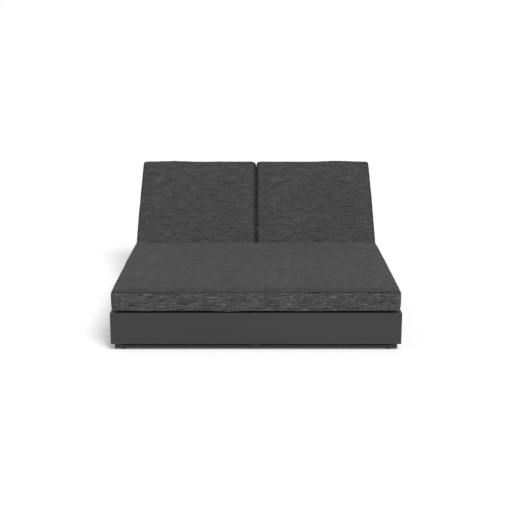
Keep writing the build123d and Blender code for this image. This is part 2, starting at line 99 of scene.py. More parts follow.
class LoungerFabric(bpy.types.PropertyGroup):
    """Colours and yarns of the cushion covers."""

    colour: colour_setting("Ground", "Colour of the charcoal ground yarn", (0.0485, 0.0485, 0.0489))
    light_yarn: colour_setting("Light yarn", "Colour of the pale slubs", (0.146, 0.146, 0.145))
    dark_yarn: colour_setting("Dark yarn", "Colour of the dark slubs", (0.013, 0.013, 0.0134))
    slub_length: length_setting("Slub length", "Usual length of a slub along the weft", 0.085, 0.005)
    slub_height: length_setting("Slub height", "Usual height of a slub across the weft", 0.0062, 0.0005)
    yarn_pitch: length_setting("Yarn pitch", "Distance from one yarn to the next", 0.0016, 0.0003)
    relief: length_setting("Relief", "Height of the yarns over the ground", 0.0005)
    seam_width: length_setting("Seam width", "How far the shade of a seam reaches", 0.0036, 0.001)
    seam_shade: number_setting(
        "Seam shade", "How much of its colour the cloth keeps inside a seam", 0.35, subtype="FACTOR", max=1
    )


class LoungerCoat(bpy.types.PropertyGroup):
    """Colours and grain of the metal, plastic and rubber."""

    coat: colour_setting("Coat", "Colour of the powder coat", (0.0333, 0.0333, 0.0338))
    steel: colour_setting("Steel", "Colour of the pins, rods and screws", (0.55, 0.55, 0.56))
    plastic: colour_setting("Plastic", "Colour of the glide feet", (0.02, 0.02, 0.02))
    rubber: colour_setting("Rubber", "Colour of the buffer strips", (0.025, 0.025, 0.025))
    peel: length_setting("Orange peel", "Width of the coat's fine waves", 0.0016, 0.0002)
    edge_radius: length_setting("Edge width", "How wide the rubbed band along an edge is", 0.0014, 0.0001)
    bead_radius: length_setting("Weld bead", "Radius of a weld bead", 0.0024, 0.0005)
    bead_ripple: length_setting("Weld ripple", "From one ripple of a weld bead to the next", 0.0034, 0.001)


class LoungerCushions(bpy.types.PropertyGroup):
    """How the cushions are cut, filled and sewn."""

    cell: length_setting("Cell", "Width of a mesh cell in the middle of a panel", 0.0135, 0.004)
    boxing: length_setting("Boxing", "Height of the boxing between its two seams", 0.104, 0.02)
    corner_radius: length_setting("Corner radius", "Radius of a panel's corners", 0.018, 0.004)
    foot_radius: length_setting("Foot radius", "Radius of a back cushion's lower edge", 0.034, 0.004)
    bow: length_setting("Bow", "How far the middle of a side stands out past its ends", 0.003)
    stand_out: length_setting("Stand out", "How far the boxing stands out past its seams", 0.0014)
    inner_seam: length_setting(
        "Inner seam", "From the lounger's middle to a back cushion's inner seam", 0.011
    )
    inner_stand_out: length_setting(
        "Inner stand out", "How far the inner boxing of a back cushion stands out", 0.0046
    )
    lip: length_setting("Lip", "How soon the boxing stands out beside a seam", 0.006, 0.001)
    pressure: number_setting("Filling pressure", "Pressure of the filling on the cover", 4.0)
    slack: number_setting(
        "Slack", "How much larger the cover is cut than the filling", 0.012, subtype="FACTOR", max=0.1
    )
    crown: length_setting("Crown", "The most that a panel may rise over its seams", 0.0048)
    crown_ease: number_setting("Crown ease", "How gently a panel reaches its crown", 2.5, 1)
    side_cap: length_setting("Side cap", "The most that the filling may push the boxing out", 0.0012)
    groove: length_setting("Seam groove", "How deep a seam pulls the cover in", 0.0034)
    stitch_pitch: length_setting("Stitch pitch", "Distance from one stitch to the next", 0.0068, 0.002)
    stitch_length: length_setting("Stitch length", "Length of the thread that shows", 0.0048, 0.001)
    stitch_width: length_setting("Thread width", "Thickness of the sewing thread", 0.0011, 0.0002)
    frames: IntProperty(
        name="Frames", description="How many frames the cover takes to fill", default=20, min=2
    )


class LoungerStudio(bpy.types.PropertyGroup):
    """Camera, lamps and floor."""

    camera_place: FloatVectorProperty(
        name="Camera", description="Where the camera stands", subtype="TRANSLATION", size=3,
        default=(0.0, -6.274, 1.82),
    )
    camera_pitch: FloatProperty(
        name="Pitch", description="How far the camera looks down", subtype="ANGLE",
        default=radians(13.727),
    )
    lens: number_setting("Lens", "Focal length in millimetres", 70.52, 1)
    key_power: number_setting("Key", "Strength of the soft key light", 2.5)
    key_angle: FloatProperty(
        name="Key softness", description="Apparent size of the key light", subtype="ANGLE",
        default=radians(26),
    )
    key_way: FloatVectorProperty(
        name="Key direction", description="The way the key light shines", subtype="DIRECTION", size=3,
        default=(-0.35, 0.8, -1.0),
    )
    fill: number_setting("Fill", "Strength of the white surroundings as light", 0.36)
    floor_lift: number_setting("Floor lift", "Light that the floor adds where it is seen", 0.2)
    floor_colour: colour_setting("Floor colour", "Colour of the floor", (0.9, 0.9, 0.9))
    floor_size: length_setting("Floor", "Width of the floor", 60.0, 4)


SETTINGS = {
    "lounger_fabric": LoungerFabric,
    "lounger_coat": LoungerCoat,
    "lounger_cushions": LoungerCushions,
    "lounger_studio": LoungerStudio,
}


def set_inputs(tree, sockets, inputs):
    """Set sockets, by name or number, to values or to other nodes' sockets."""
    for key, value in inputs.items():
        if isinstance(value, bpy.types.NodeSocket):
            tree.links.new(value, sockets[key])
        else:
            sockets[key].default_value = value


# How a tree's nodes are laid out in the editor
NODES_A_ROW = 8
NODE_SPACE = (190, -210)


def add_node(tree, kind, inputs=None, **settings):
    """Add a node to a tree, with its settings and inputs."""
    made = tree.nodes.new(kind)
    row, column = divmod(len(tree.nodes), NODES_A_ROW)
    made.location = (NODE_SPACE[0] * column, NODE_SPACE[1] * row)
    for key, value in settings.items():
        setattr(made, key, value)
    set_inputs(tree, made.inputs, inputs or {})
    return made


def output(tree, kind, inputs=None, **settings):
    """The first output of a new node."""
    return add_node(tree, kind, inputs, **settings).outputs[0]


def maths(tree, operation, *values):
    """A Math node's result."""
    return output(tree, "ShaderNodeMath", dict(enumerate(values)), operation=operation)


def times(tree, first, second):
    """The product of two values."""
    return maths(tree, "MULTIPLY", first, second)


def ramp(tree, value, low, high, to_low=0.0, to_high=1.0):
    """A value smoothly carried from one range to another."""
    inputs = {"Value": value, "From Min": low, "From Max": high, "To Min": to_low, "To Max": to_high}
    return output(tree, "ShaderNodeMapRange", inputs, interpolation_type="SMOOTHSTEP")


def noise(tree, place, scale, detail, **more):
    """A noise texture's value."""
    inputs = {"Vector": place, "Scale": scale, "Detail": detail, **more}
    return output(tree, "ShaderNodeTexNoise", inputs)


def mix_colours(tree, share, first, second):
    """Two colours mixed by a share."""
    inputs = {0: share, 6: first, 7: second}
    return add_node(tree, "ShaderNodeMix", inputs, data_type="RGBA").outputs[2]


def opaque(colour, scale=1.0, lift=0.0):
    """A colour setting as the four numbers of a colour socket, made stronger and lifted if asked."""
    return (*[scale * channel + lift for channel in colour], 1.0)


def new_group(kind, name, inputs, outputs):
    """A node group with named sockets: a number is an input's default, a word a socket's kind."""
    tree = bpy.data.node_groups.new(name, kind)
    for way, sockets in (("INPUT", inputs), ("OUTPUT", outputs)):
        for socket_name, value in sockets.items():
            given = not isinstance(value, str)
            word = type(value).__name__.capitalize() if given else value
            socket = tree.interface.new_socket(socket_name, in_out=way, socket_type="NodeSocket" + word)
            if given:
                socket.default_value = value
    return tree, tree.nodes.new("NodeGroupInput").outputs, tree.nodes.new("NodeGroupOutput").inputs


# How noise becomes a mask: the ends of its ramp. The noise of specks has this share of the fine
# waves' scale, which makes them coarser.
TONE_ENDS = (0.35, 0.75)
CLOUD_ENDS = (0.3, 0.7)
SPECK_SCALE = 0.45
FINE_ROUGHNESS = 0.55


def grain_group():
    """Fine waves of a sprayed or moulded surface: height, speckled shifts of colour and a slow cloud."""
    tree, given, result = new_group(
        "ShaderNodeTree", "surface_grain",
        {"Place": "Vector", "Wave width": 0.0015, "Cloud width": 0.35},
        {"Height": "Float", "Tone": "Float", "Cloud": "Float"},
    )
    place, wave = given["Place"], given["Wave width"]
    fine = noise(tree, place, maths(tree, "DIVIDE", 1.0, wave), detail=2.0, Roughness=FINE_ROUGHNESS)
    speck = noise(tree, place, maths(tree, "DIVIDE", SPECK_SCALE, wave), detail=4.0)
    cloud = noise(tree, place, maths(tree, "DIVIDE", 1.0, given["Cloud width"]), detail=3.0)
    set_inputs(tree, result, {
        "Height": fine, "Tone": ramp(tree, speck, *TONE_ENDS), "Cloud": ramp(tree, cloud, *CLOUD_ENDS),
    })
    return tree


# The cosines between which a turn of the surface comes to count as an edge, and about how many
# patches of wear a metre has
EDGE_TURN = (0.995, 0.82)
PATCH_SCALE = 60.0


def edge_group():
    """Where the surface turns over an edge, for rubbed and thinned coats with a painted highlight, and its
    rounded normal.
    """
    tree, given, result = new_group(
        "ShaderNodeTree", "rubbed_and_highlit_edge", {"Place": "Vector", "Width": 0.0015},
        {"Mask": "Float", "Normal": "Vector"},
    )
    rounded = output(tree, "ShaderNodeBevel", {"Radius": given["Width"]}, samples=6)
    surface = add_node(tree, "ShaderNodeNewGeometry").outputs["Normal"]
    turned = add_node(tree, "ShaderNodeVectorMath", {0: rounded, 1: surface}, operation="DOT_PRODUCT")
    ridge = ramp(tree, turned.outputs["Value"], *EDGE_TURN)
    patchy = ramp(tree, noise(tree, given["Place"], PATCH_SCALE, detail=4.0), *CLOUD_ENDS)
    set_inputs(tree, result, {"Mask": times(tree, ridge, patchy), "Normal": rounded})
    return tree


def weave_group():
    """A plain weave: each yarn rises over every second one that it crosses."""
    tree, given, result = new_group(
        "ShaderNodeTree", "plain_weave", {"Cloth place": "Vector", "Pitch": 0.0016},
        {"Height": "Float", "Weft row": "Float"},
    )
    place = add_node(tree, "ShaderNodeSeparateXYZ", {0: given["Cloth place"]}).outputs
    across = maths(tree, "DIVIDE", place["X"], given["Pitch"])
    along = maths(tree, "DIVIDE", place["Y"], given["Pitch"])
    row = maths(tree, "FLOOR", along)
    parity = maths(tree, "PINGPONG", maths(tree, "ADD", maths(tree, "FLOOR", across), row), 1.0)
    warp, weft = (
        maths(tree, "ABSOLUTE", maths(tree, "SINE", times(tree, yarns, pi))) for yarns in (across, along)
    )
    lower = times(tree, warp, maths(tree, "SUBTRACT", 1.0, parity))
    height = maths(tree, "ADD", lower, times(tree, weft, parity))
    set_inputs(tree, result, {"Height": height, "Weft row": row})
    return tree


# Slubs: how far a row shifts along the weft, where the pale and the dark ones are drawn, and how the
# short ones differ from the long ones in scale, place, ends and strength
ROW_SHIFT = 0.22
SLUB_OFFSETS = (0.0, 31.7)
SHORT_SCALE = (3.2, 2.1)
SHORT_OFFSET = 5.0
LONG_ENDS = (0.6, 0.65)
SHORT_ENDS = (0.57, 0.63)
SHORT_STRENGTH = 0.9
DARK_SINK = 0.4


def slub_group():
    """Uneven weft yarns: masks of the pale and the dark stretches, and how far they stand up."""
    tree, given, result = new_group(
        "ShaderNodeTree", "slub_yarn",
        {"Cloth place": "Vector", "Length": 0.04, "Height": 0.007, "Weft row": 0.0, "Pitch": 0.0016},
        {"Pale": "Float", "Dark": "Float", "Relief": "Float"},
    )
    place = add_node(tree, "ShaderNodeSeparateXYZ", {0: given["Cloth place"]}).outputs
    shift = add_node(tree, "ShaderNodeTexWhiteNoise", {"W": given["Weft row"]}, noise_dimensions="1D")
    across = maths(tree, "ADD", maths(tree, "DIVIDE", place["X"], given["Length"]),
                   times(tree, shift.outputs["Value"], ROW_SHIFT))
    row_middle = times(tree, maths(tree, "ADD", given["Weft row"], 0.5), given["Pitch"])
    up = maths(tree, "DIVIDE", row_middle, given["Height"])
    masks = []
    for offset in SLUB_OFFSETS:
        long_place = output(tree, "ShaderNodeCombineXYZ", {0: across, 1: up, 2: offset})
        short_place = output(tree, "ShaderNodeCombineXYZ", {
            0: times(tree, across, SHORT_SCALE[0]), 1: times(tree, up, SHORT_SCALE[1]),
            2: offset + SHORT_OFFSET,
        })
        slub = ramp(tree, noise(tree, long_place, 1.0, detail=1.0), *LONG_ENDS)
        single = ramp(tree, noise(tree, short_place, 1.0, detail=1.0), *SHORT_ENDS)
        masks.append(maths(tree, "MAXIMUM", slub, times(tree, single, SHORT_STRENGTH)))
    pale, dark = masks
    relief = maths(tree, "SUBTRACT", pale, times(tree, dark, DARK_SINK))
    set_inputs(tree, result, {"Pale": pale, "Dark": dark, "Relief": relief})
    return tree


def place_group(tree, group, inputs):
    """Put a shader node group into a material and return its outputs."""
    return add_node(tree, "ShaderNodeGroup", inputs, node_tree=group).outputs


def cleared_tree(owner):
    """The node tree of a new material or world, without the nodes that it comes with."""
    owner.use_nodes = True
    owner.node_tree.nodes.clear()
    return owner.node_tree


def new_material(name):
    """A material with a Principled shader on its output. Returns it, its tree and the shader's inputs."""
    material = bpy.data.materials.new(name)
    tree = cleared_tree(material)
    shader = add_node(tree, "ShaderNodeBsdfPrincipled")
    add_node(tree, "ShaderNodeOutputMaterial", {"Surface": shader.outputs[0]})
    return material, tree, shader.inputs


def grained(tree, groups, wave, cloud):
    """The place on the object, and the shared grain on it."""
    place = add_node(tree, "ShaderNodeTexCoord").outputs["Object"]
    grain = place_group(tree, groups["grain"], {"Place": place, "Wave width": wave, "Cloud width": cloud})
    return place, grain


def bumped(tree, height, distance, strength=1.0, **more):
    """The normal of a surface raised by a height between 0 and 1 times a distance."""
    inputs = {"Height": height, "Distance": distance, "Strength": strength, **more}
    return output(tree, "ShaderNodeBump", inputs)


def between(tree, value, low, high):
    """A value from 0 to 1 carried to a range."""
    return ramp(tree, value, 0.0, 1.0, low, high)


# The cloth: how much the ground and the yarns vary, how dark it is between its yarns, where the painted
# shade of a seam is full, and how much the weave stands up beside the slubs
GROUND_TONE = 0.25
YARN_STRENGTH = 0.85
GAP_ENDS = (0.0, 0.5, 0.72, 1.0)
CLOTH_CLOUD = (0.96, 1.03)
SEAM_SHADE_START = 0.0007
WEAVE_SHARE = 0.6


def fabric_material(groups, fabric):
    """Melange charcoal cloth with uneven weft yarns, laid out on each panel's own cut."""
    material, tree, shader = new_material("cushion_cloth")
    cloth = output(tree, "ShaderNodeUVMap", uv_map="cut")
    weave = place_group(tree, groups["weave"], {"Cloth place": cloth, "Pitch": fabric.yarn_pitch})
    slubs = place_group(tree, groups["slub"], {
        "Cloth place": cloth, "Length": fabric.slub_length, "Height": fabric.slub_height,
        "Weft row": weave["Weft row"], "Pitch": fabric.yarn_pitch,
    })
    _, grain = grained(tree, groups, wave=0.0022, cloud=0.3)
    # Painted light and shade from the cushions' meshes darken or lighten the cloth
    painted_shading, painted_seam_shade, yarn_share = (
        add_node(tree, "ShaderNodeAttribute", attribute_name=name).outputs["Fac"]
        for name in ("painted_shading", "painted_seam_shade", "yarn_share")
    )
    light = opaque(fabric.light_yarn)
    ground = mix_colours(tree, times(tree, grain["Tone"], GROUND_TONE), opaque(fabric.colour), light)
    shown = times(tree, yarn_share, YARN_STRENGTH)
    paled = mix_colours(tree, times(tree, slubs["Pale"], shown), ground, light)
    yarned = mix_colours(tree, times(tree, slubs["Dark"], shown), paled, opaque(fabric.dark_yarn))
    clouded = times(tree, ramp(tree, weave["Height"], *GAP_ENDS), between(tree, grain["Cloud"], *CLOTH_CLOUD))
    # Painted shade along the seams, where the cover is pulled into its groove
    seam_shaded = ramp(tree, painted_seam_shade, SEAM_SHADE_START, fabric.seam_width, fabric.seam_shade, 1.0)
    shade = times(tree, times(tree, clouded, painted_shading), seam_shaded)
    relief = maths(tree, "ADD", times(tree, weave["Height"], WEAVE_SHARE), slubs["Relief"])
    set_inputs(tree, shader, {
        "Base Color": output(tree, "ShaderNodeVectorMath", {0: yarned, "Scale": shade}, operation="SCALE"),
        "Roughness": between(tree, slubs["Pale"], 0.93, 0.84),
        "Specular IOR Level": 0.2,
        "Sheen Weight": 0.05,
        "Sheen Roughness": 0.45,
        "Normal": bumped(tree, relief, fabric.relief, strength=0.7),
    })
    return material


def thread_material(groups, fabric):
    """Twisted polyester sewing thread, a little paler than the cloth."""
    material, tree, shader = new_material("sewing_thread")
    _, grain = grained(tree, groups, wave=0.0004, cloud=0.02)
    share = times(tree, grain["Tone"], 0.5)
    set_inputs(tree, shader, {
        "Base Color": mix_colours(tree, share, opaque(fabric.colour), opaque(fabric.light_yarn)),
        "Roughness": between(tree, grain["Cloud"], 0.5, 0.65),
        "Normal": bumped(tree, grain["Height"], distance=0.0001),
    })
    return material


# The powder coat: how much paler its clouds and edges are, the edges' paleness partly wear and partly a
# painted highlight, and how strongly each of them shows
COAT_PALE = (1.35, 0.01)
COAT_FLECK = 0.82
COAT_CLOUD_SHARE = 0.22
COAT_FLECK_SHARE = 0.35
COAT_EDGE_WEAR_AND_HIGHLIGHT = 0.55
EDGE_POLISH = -0.12


def coat_material(groups, coat):
    """Charcoal powder coat: fine orange peel, faint clouding, thinned and paler on its edges, the paleness
    partly wear and partly a painted highlight.
    """
    material, tree, shader = new_material("powder_coat")
    place, grain = grained(tree, groups, wave=coat.peel, cloud=0.4)
    edge = place_group(tree, groups["edge"], {"Place": place, "Width": coat.edge_radius})
    pale, fleck = opaque(coat.coat, *COAT_PALE), opaque(coat.coat, COAT_FLECK)
    clouded = mix_colours(tree, times(tree, grain["Cloud"], COAT_CLOUD_SHARE), opaque(coat.coat), pale)
    flecked = mix_colours(tree, times(tree, grain["Tone"], COAT_FLECK_SHARE), clouded, fleck)
    # The edges are paler: partly wear, partly a painted highlight
    polish = times(tree, edge["Mask"], EDGE_POLISH)
    set_inputs(tree, shader, {
        "Base Color": mix_colours(tree, times(tree, edge["Mask"], COAT_EDGE_WEAR_AND_HIGHLIGHT), flecked, pale),
        "Roughness": maths(tree, "ADD", between(tree, grain["Cloud"], 0.5, 0.58), polish),
        "Specular IOR Level": 0.3,
        "Normal": bumped(tree, grain["Height"], distance=0.00012, strength=0.8, Normal=edge["Normal"]),
    })
    return material


# Drawn lines of the steel: scales along and across a rod, and how much darker the lines are
DRAWN_SCALE = (14.0, 1400.0, 1400.0)
DRAWN_DULL = 0.72


def steel_material(groups, coat):
    """Drawn stainless steel: fine lines along the rods, soft smears."""
    material, tree, shader = new_material("drawn_steel")
    place, grain = grained(tree, groups, wave=0.003, cloud=0.05)
    drawn = output(tree, "ShaderNodeMapping", {"Vector": place, "Scale": DRAWN_SCALE})
    lines = noise(tree, drawn, 1.0, detail=3.0)
    dull = opaque(coat.steel, DRAWN_DULL)
    set_inputs(tree, shader, {
        "Base Color": mix_colours(tree, ramp(tree, lines, *CLOUD_ENDS), dull, opaque(coat.steel)),
        "Metallic": 1.0,
        "Roughness": between(tree, grain["Cloud"], 0.28, 0.42),
        "Normal": bumped(tree, lines, distance=0.00006),
    })
    return material


# Moulded pieces: how much paler a rubbed place is, and how far the roughness varies
RUBBED_PALE = (1.8, 0.006)
ROUGHNESS_SPREAD = 0.06


def moulded_material(groups, name, colour, roughness, wave):
    """Moulded nylon or rubber: an even matt grain with a few rubbed places."""
    material, tree, shader = new_material(name)
    _, grain = grained(tree, groups, wave, cloud=0.03)
    worn = times(tree, grain["Cloud"], times(tree, grain["Tone"], 0.5))
    low, high = roughness - ROUGHNESS_SPREAD, roughness + ROUGHNESS_SPREAD
    set_inputs(tree, shader, {
        "Base Color": mix_colours(tree, worn, opaque(colour), opaque(colour, *RUBBED_PALE)),
        "Roughness": between(tree, grain["Tone"], low, high),
        "Normal": bumped(tree, grain["Height"], distance=0.00012),
    })
    return material


def linked_object(name, data):
    """A new object in the scene."""
    made = bpy.data.objects.new(name, data)
    bpy.context.scene.collection.objects.link(made)
    return made


def finished_object(name, mesh, material, body):
    """A new piece from a finished mesh, in its material and slot, riding on its body."""
    piece = linked_object(name, mesh)
    mesh.materials.clear()
    mesh.materials.append(material)
    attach(piece, body)
    return piece


def plain_mesh(carrier, name):
    """The plain mesh that an object's modifiers make. The object is removed."""
    graph = bpy.context.evaluated_depsgraph_get()
    mesh = bpy.data.meshes.new_from_object(carrier.evaluated_get(graph), depsgraph=graph)
    bpy.data.objects.remove(carrier)
    mesh.name = name
    return mesh


def run_tree(name, tree, start_mesh, inputs, place=FLAT_PLACE):
    """Run a geometry node tree on a mesh with named inputs and return the plain mesh it makes."""
    carrier = linked_object(name + "_carrier", start_mesh)
    modifier = carrier.modifiers.new(name, "NODES")
    modifier.node_group = tree
    for item in tree.interface.items_tree:
        if item.in_out == "INPUT" and item.name in inputs:
            modifier[item.identifier] = inputs[item.name]
    mesh = plain_mesh(carrier, name)
    mesh.transform(place)
    return mesh


def geometry_group(name, inputs):
    """A geometry node tree: a Geometry input, named sizes, a Material and one Geometry output."""
    inputs = {"Geometry": "Geometry", **inputs, "Material": "Material"}
    return new_group("GeometryNodeTree", name, inputs, {"Geometry": "Geometry"})


def end_tree(tree, given, result, geometry, smooth=False):
    """End a tree with real geometry, shaded smooth if asked, in its material."""
    real = output(tree, "GeometryNodeRealizeInstances", {0: geometry})
    if smooth:
        real = output(tree, "GeometryNodeSetShadeSmooth", {"Geometry": real, "Shade Smooth": True})
    inputs = {"Geometry": real, "Material": given["Material"]}
    tree.links.new(output(tree, "GeometryNodeSetMaterial", inputs), result["Geometry"])
    return tree


def slat_tree():
    """A row of slats with round edges, each along X, stepped along Y from the first one's middle."""
    tree, given, result = geometry_group("slat_row", {
        "Count": 12, "First": "Vector", "Step": "Vector", "Length": 0.7, "Width": 0.06,
        "Thickness": 0.01, "Edge radius": 0.002,
    })
    section = output(tree, "GeometryNodeCurvePrimitiveQuadrilateral", {
        "Width": given["Width"], "Height": given["Thickness"],
    })
    rounded = output(tree, "GeometryNodeFilletCurve", {
        "Curve": section, "Count": 4, "Radius": given["Edge radius"],
    }, mode="POLY")
    half = times(tree, given["Length"], 0.5)
    start = output(tree, "ShaderNodeCombineXYZ", {0: times(tree, half, -1.0)})
    end = output(tree, "ShaderNodeCombineXYZ", {0: half})
    line = output(tree, "GeometryNodeCurvePrimitiveLine", {"Start": start, "End": end})
    slat = output(tree, "GeometryNodeCurveToMesh", {
        "Curve": line, "Profile Curve": rounded, "Fill Caps": True,
    })
    row = output(tree, "GeometryNodeMeshLine", {
        "Count": given["Count"], "Start Location": given["First"], "Offset": given["Step"],
    })
    placed = output(tree, "GeometryNodeInstanceOnPoints", {"Points": row, "Instance": slat})
    return end_tree(tree, given, result, placed)


# A stitch is a small ball drawn long. Its sizes vary between these shares.
STITCH_LEAST = (0.85, 0.9, 0.8)
STITCH_MOST = (1.1, 1.1, 1.1)
STITCH_LIFT = 0.0002


def stitch_tree():
    """Thread stitches along the mesh rows that an attribute marks, lying flat on the surface."""
    tree, given, result = geometry_group("topstitch", {
        "Pitch": 0.007, "Stitch length": 0.005, "Thread width": 0.001, "Lift": STITCH_LIFT, "Seed": 3,
    })
    marked = output(tree, "GeometryNodeInputNamedAttribute", {"Name": "stitch_row"}, data_type="FLOAT")
    normal = output(tree, "GeometryNodeInputNormal")
    kept = output(tree, "GeometryNodeStoreNamedAttribute", {
        "Geometry": given["Geometry"], "Name": "outwards", "Value": normal,
    }, data_type="FLOAT_VECTOR", domain="POINT")
    chosen = output(tree, "FunctionNodeCompare", {"A": marked, "B": 0.99}, data_type="FLOAT",
                    operation="GREATER_THAN")
    path = output(tree, "GeometryNodeMeshToCurve", {"Mesh": kept, "Selection": chosen})
    spaced = add_node(tree, "GeometryNodeCurveToPoints", {
        "Curve": path, "Length": given["Pitch"],
    }, mode="LENGTH").outputs
    outwards = output(tree, "GeometryNodeInputNamedAttribute", {"Name": "outwards"},
                      data_type="FLOAT_VECTOR")
    turn = output(tree, "FunctionNodeAxesToRotation", {
        "Primary Axis": outwards, "Secondary Axis": spaced["Tangent"],
    }, primary_axis="Z", secondary_axis="X")
    ball = output(tree, "GeometryNodeMeshUVSphere", {"Segments": 6, "Rings": 4, "Radius": 0.5})
    width = given["Thread width"]
    sizes = output(tree, "ShaderNodeCombineXYZ", {0: given["Stitch length"], 1: width, 2: width})
    thread = output(tree, "GeometryNodeTransform", {"Geometry": ball, "Scale": sizes})
    uneven = output(tree, "FunctionNodeRandomValue", {
        0: STITCH_LEAST, 1: STITCH_MOST, "Seed": given["Seed"],
    }, data_type="FLOAT_VECTOR")
    placed = output(tree, "GeometryNodeInstanceOnPoints", {
        "Points": spaced[0], "Instance": thread, "Rotation": turn, "Scale": uneven,
    })
    lift = output(tree, "ShaderNodeCombineXYZ", {2: given["Lift"]})
    lifted = output(tree, "GeometryNodeTranslateInstances", {
        "Instances": placed, "Translation": lift, "Local Space": True,
    })
    return end_tree(tree, given, result, lifted, smooth=True)


# How far the ripples of a weld bead swell, as a share of its radius
BEAD_SWELL = 0.16


def bead_tree():
    """A weld bead along drawn edges: a round string whose thickness ripples."""
    tree, given, result = geometry_group("weld_bead", {"Radius": 0.0022, "Ripple": 0.0032, "Step": 0.0016})
    path = output(tree, "GeometryNodeMeshToCurve", {"Mesh": given["Geometry"]})
    spaced = output(tree, "GeometryNodeResampleCurve", {"Curve": path, "Length": given["Step"]},
                    mode="LENGTH")
    along = add_node(tree, "GeometryNodeSplineParameter").outputs["Length"]
    turns = maths(tree, "DIVIDE", along, given["Ripple"])
    wave = maths(tree, "SINE", times(tree, turns, 2 * pi))
    swell = maths(tree, "ADD", 1.0, times(tree, wave, BEAD_SWELL))
    string = output(tree, "GeometryNodeSetCurveRadius", {"Curve": spaced, "Radius": swell})
    circle = output(tree, "GeometryNodeCurvePrimitiveCircle", {"Resolution": 6, "Radius": given["Radius"]})
    solid = output(tree, "GeometryNodeCurveToMesh", {
        "Curve": string, "Profile Curve": circle, "Scale": output(tree, "GeometryNodeInputRadius"),
        "Fill Caps": True,
    })
    return end_tree(tree, given, result, solid, smooth=True)


def stations(length, edge_steps, cell):
    """Places along a side: fine steps beside both ends and even cells between them."""
    near = np.cumsum([0.0, *edge_steps])
    rest = length - 2 * near[-1]
    count = max(2, round(rest / cell))
    middle = near[-1] + rest * np.arange(1, count) / count
    return np.concatenate([near, middle, length - near[::-1]])


def disc_corner(first, second, radius):
    """Draw two coordinates, measured from a square corner, onto a round one of some radius."""
    a = np.clip((radius - first) / radius, 0, 1)
    b = np.clip((radius - second) / radius, 0, 1)
    both = (a > 0) & (b > 0)
    new_a = np.where(both, a * np.sqrt(1 - b**2 / 2), a)
    new_b = np.where(both, b * np.sqrt(1 - a**2 / 2), b)
    return first - radius * (new_a - a), second - radius * (new_b - b)


# Fine steps of a cushion's mesh beside a seam, and how many of them lie between seam and stitches
PANEL_STEPS = (0.003, 0.0045, 0.0065, 0.009)
BOXING_STEPS = (0.0028, 0.0042, 0.0065)
STITCH_STEP = 2

# A cushion's underside floats this far over what it rests on, and the seat's rear face clears the
# backs. That face leans like its solid, which is read at two shares of its height, and the lean
# fades out over the spread in front of it.
LIFT = 0.0008
CLEARANCE = 0.0028
REAR_SHARES = (0.12, 0.86)
REAR_SPREAD = 0.14

# Sags of the seat cushion's front edge: place along X, half width and depth
SAG_PLACES = ((-0.155, 0.055, 0.0052), (0.31, 0.12, 0.0018), (-0.56, 0.10, 0.0014))
SAG_STRIP = 0.011
SAG_HEIGHT = 0.05

# Humps in the backs' top edges, and how far those covers reach past the solids
HUMP_MIDDLE = 0.572
HUMP_SPREAD = 0.105
HUMP_DEPTH = 0.075
HUMP_RISE = 0.0085
OUTER_EASE = 0.001
TOP_EASE = 0.0015

# Painted light and shade on the cloth of each panel, as light falls on it: the backs darker, the boxing
# lighter. Then how clearly its yarns show, and how soon the painted shade of its seams ends. The seat's
# panel gets painted shade towards its front edge, over a strip of this width.
SEAT_PAINTED_SHADE = 0.95
BACK_PAINTED_SHADE = 0.87
BOXING_PAINTED_LIGHT = 1.07
PANEL_YARN = 0.64
BOXING_YARN = 0.85
PANEL_SEAM_SHADE_FADE = 0.35
BOXING_SEAM_SHADE_FADE = 3.0
NEAR_EDGE = 0.11
NEAR_EDGE_PAINTED_SHADE = 0.81

# The backs' inner sides nearly meet, along a wave that follows the distance from the hinge: half the
# gap between them, the wave's height and length, how far in from the seams they come closest, the
# exponent of their slope, how far the corners take part, and how much of its colour their cloth keeps
# under the painted shade of the gap
LEAN_GAP = 0.0006
LEAN_WAVE = 0.0026
LEAN_LENGTH = 0.09
LEAN_DEPTH = 0.026
LEAN_EASE = 0.9
LEAN_REACH = 0.008
LEAN_PAINTED_SHADE = 0.4

# The seat cushion is this much thicker than the backs' at its seams, and its front edge settles by
# this much
SEAT_RISE = 0.0025
FRONT_SAG = 0.0023

# The numbers that the cushions' uneven fields start from
SEAT_SEED = 21
BACK_SEED = 40
BACK_SEED_STEP = 7
SEAT_STITCH_SEED = 4
BACK_STITCH_SEED = 5

# The cloth solver's settings, how firmly the upper seam is held, and how often a move is smoothed
CLOTH = {
    "vertex_group_mass": "held", "quality": 5, "mass": 0.3, "tension_stiffness": 15,
    "compression_stiffness": 15, "shear_stiffness": 6, "bending_stiffness": 0.6, "use_pressure": True,
}
SEAM_HOLD = 0.9
SMOOTH_ROUNDS = 40

# What a filled cover keeps of its sideways move, and the most that a wrinkle stands out: boxing, panel
ASIDE_SHARE = 0.3
WRINKLE_CAPS = (0.0012, 0.002)

# Unevenness of the filling (boxing, panel), the pucker beside a seam (lengths, height and reach), and
# how far the rows of stitches sink in
UNEVEN_LENGTHS = (0.52, 0.34, 0.21)
UNEVEN_HEIGHTS = (0.0004, 0.0013)
PUCKER_LENGTHS = (0.075, 0.046, 0.031)
PUCKER_HEIGHT = 0.0009
PUCKER_REACH = 0.016
STITCH_SINK = 0.0006

# Slats: the radius of their edges, the turn from which an edge is shaded sharp, and how alike the
# steps of an even row are
SLAT_EDGE = 0.0018
SHARP_ANGLE = radians(35)
EVEN = 1e-4


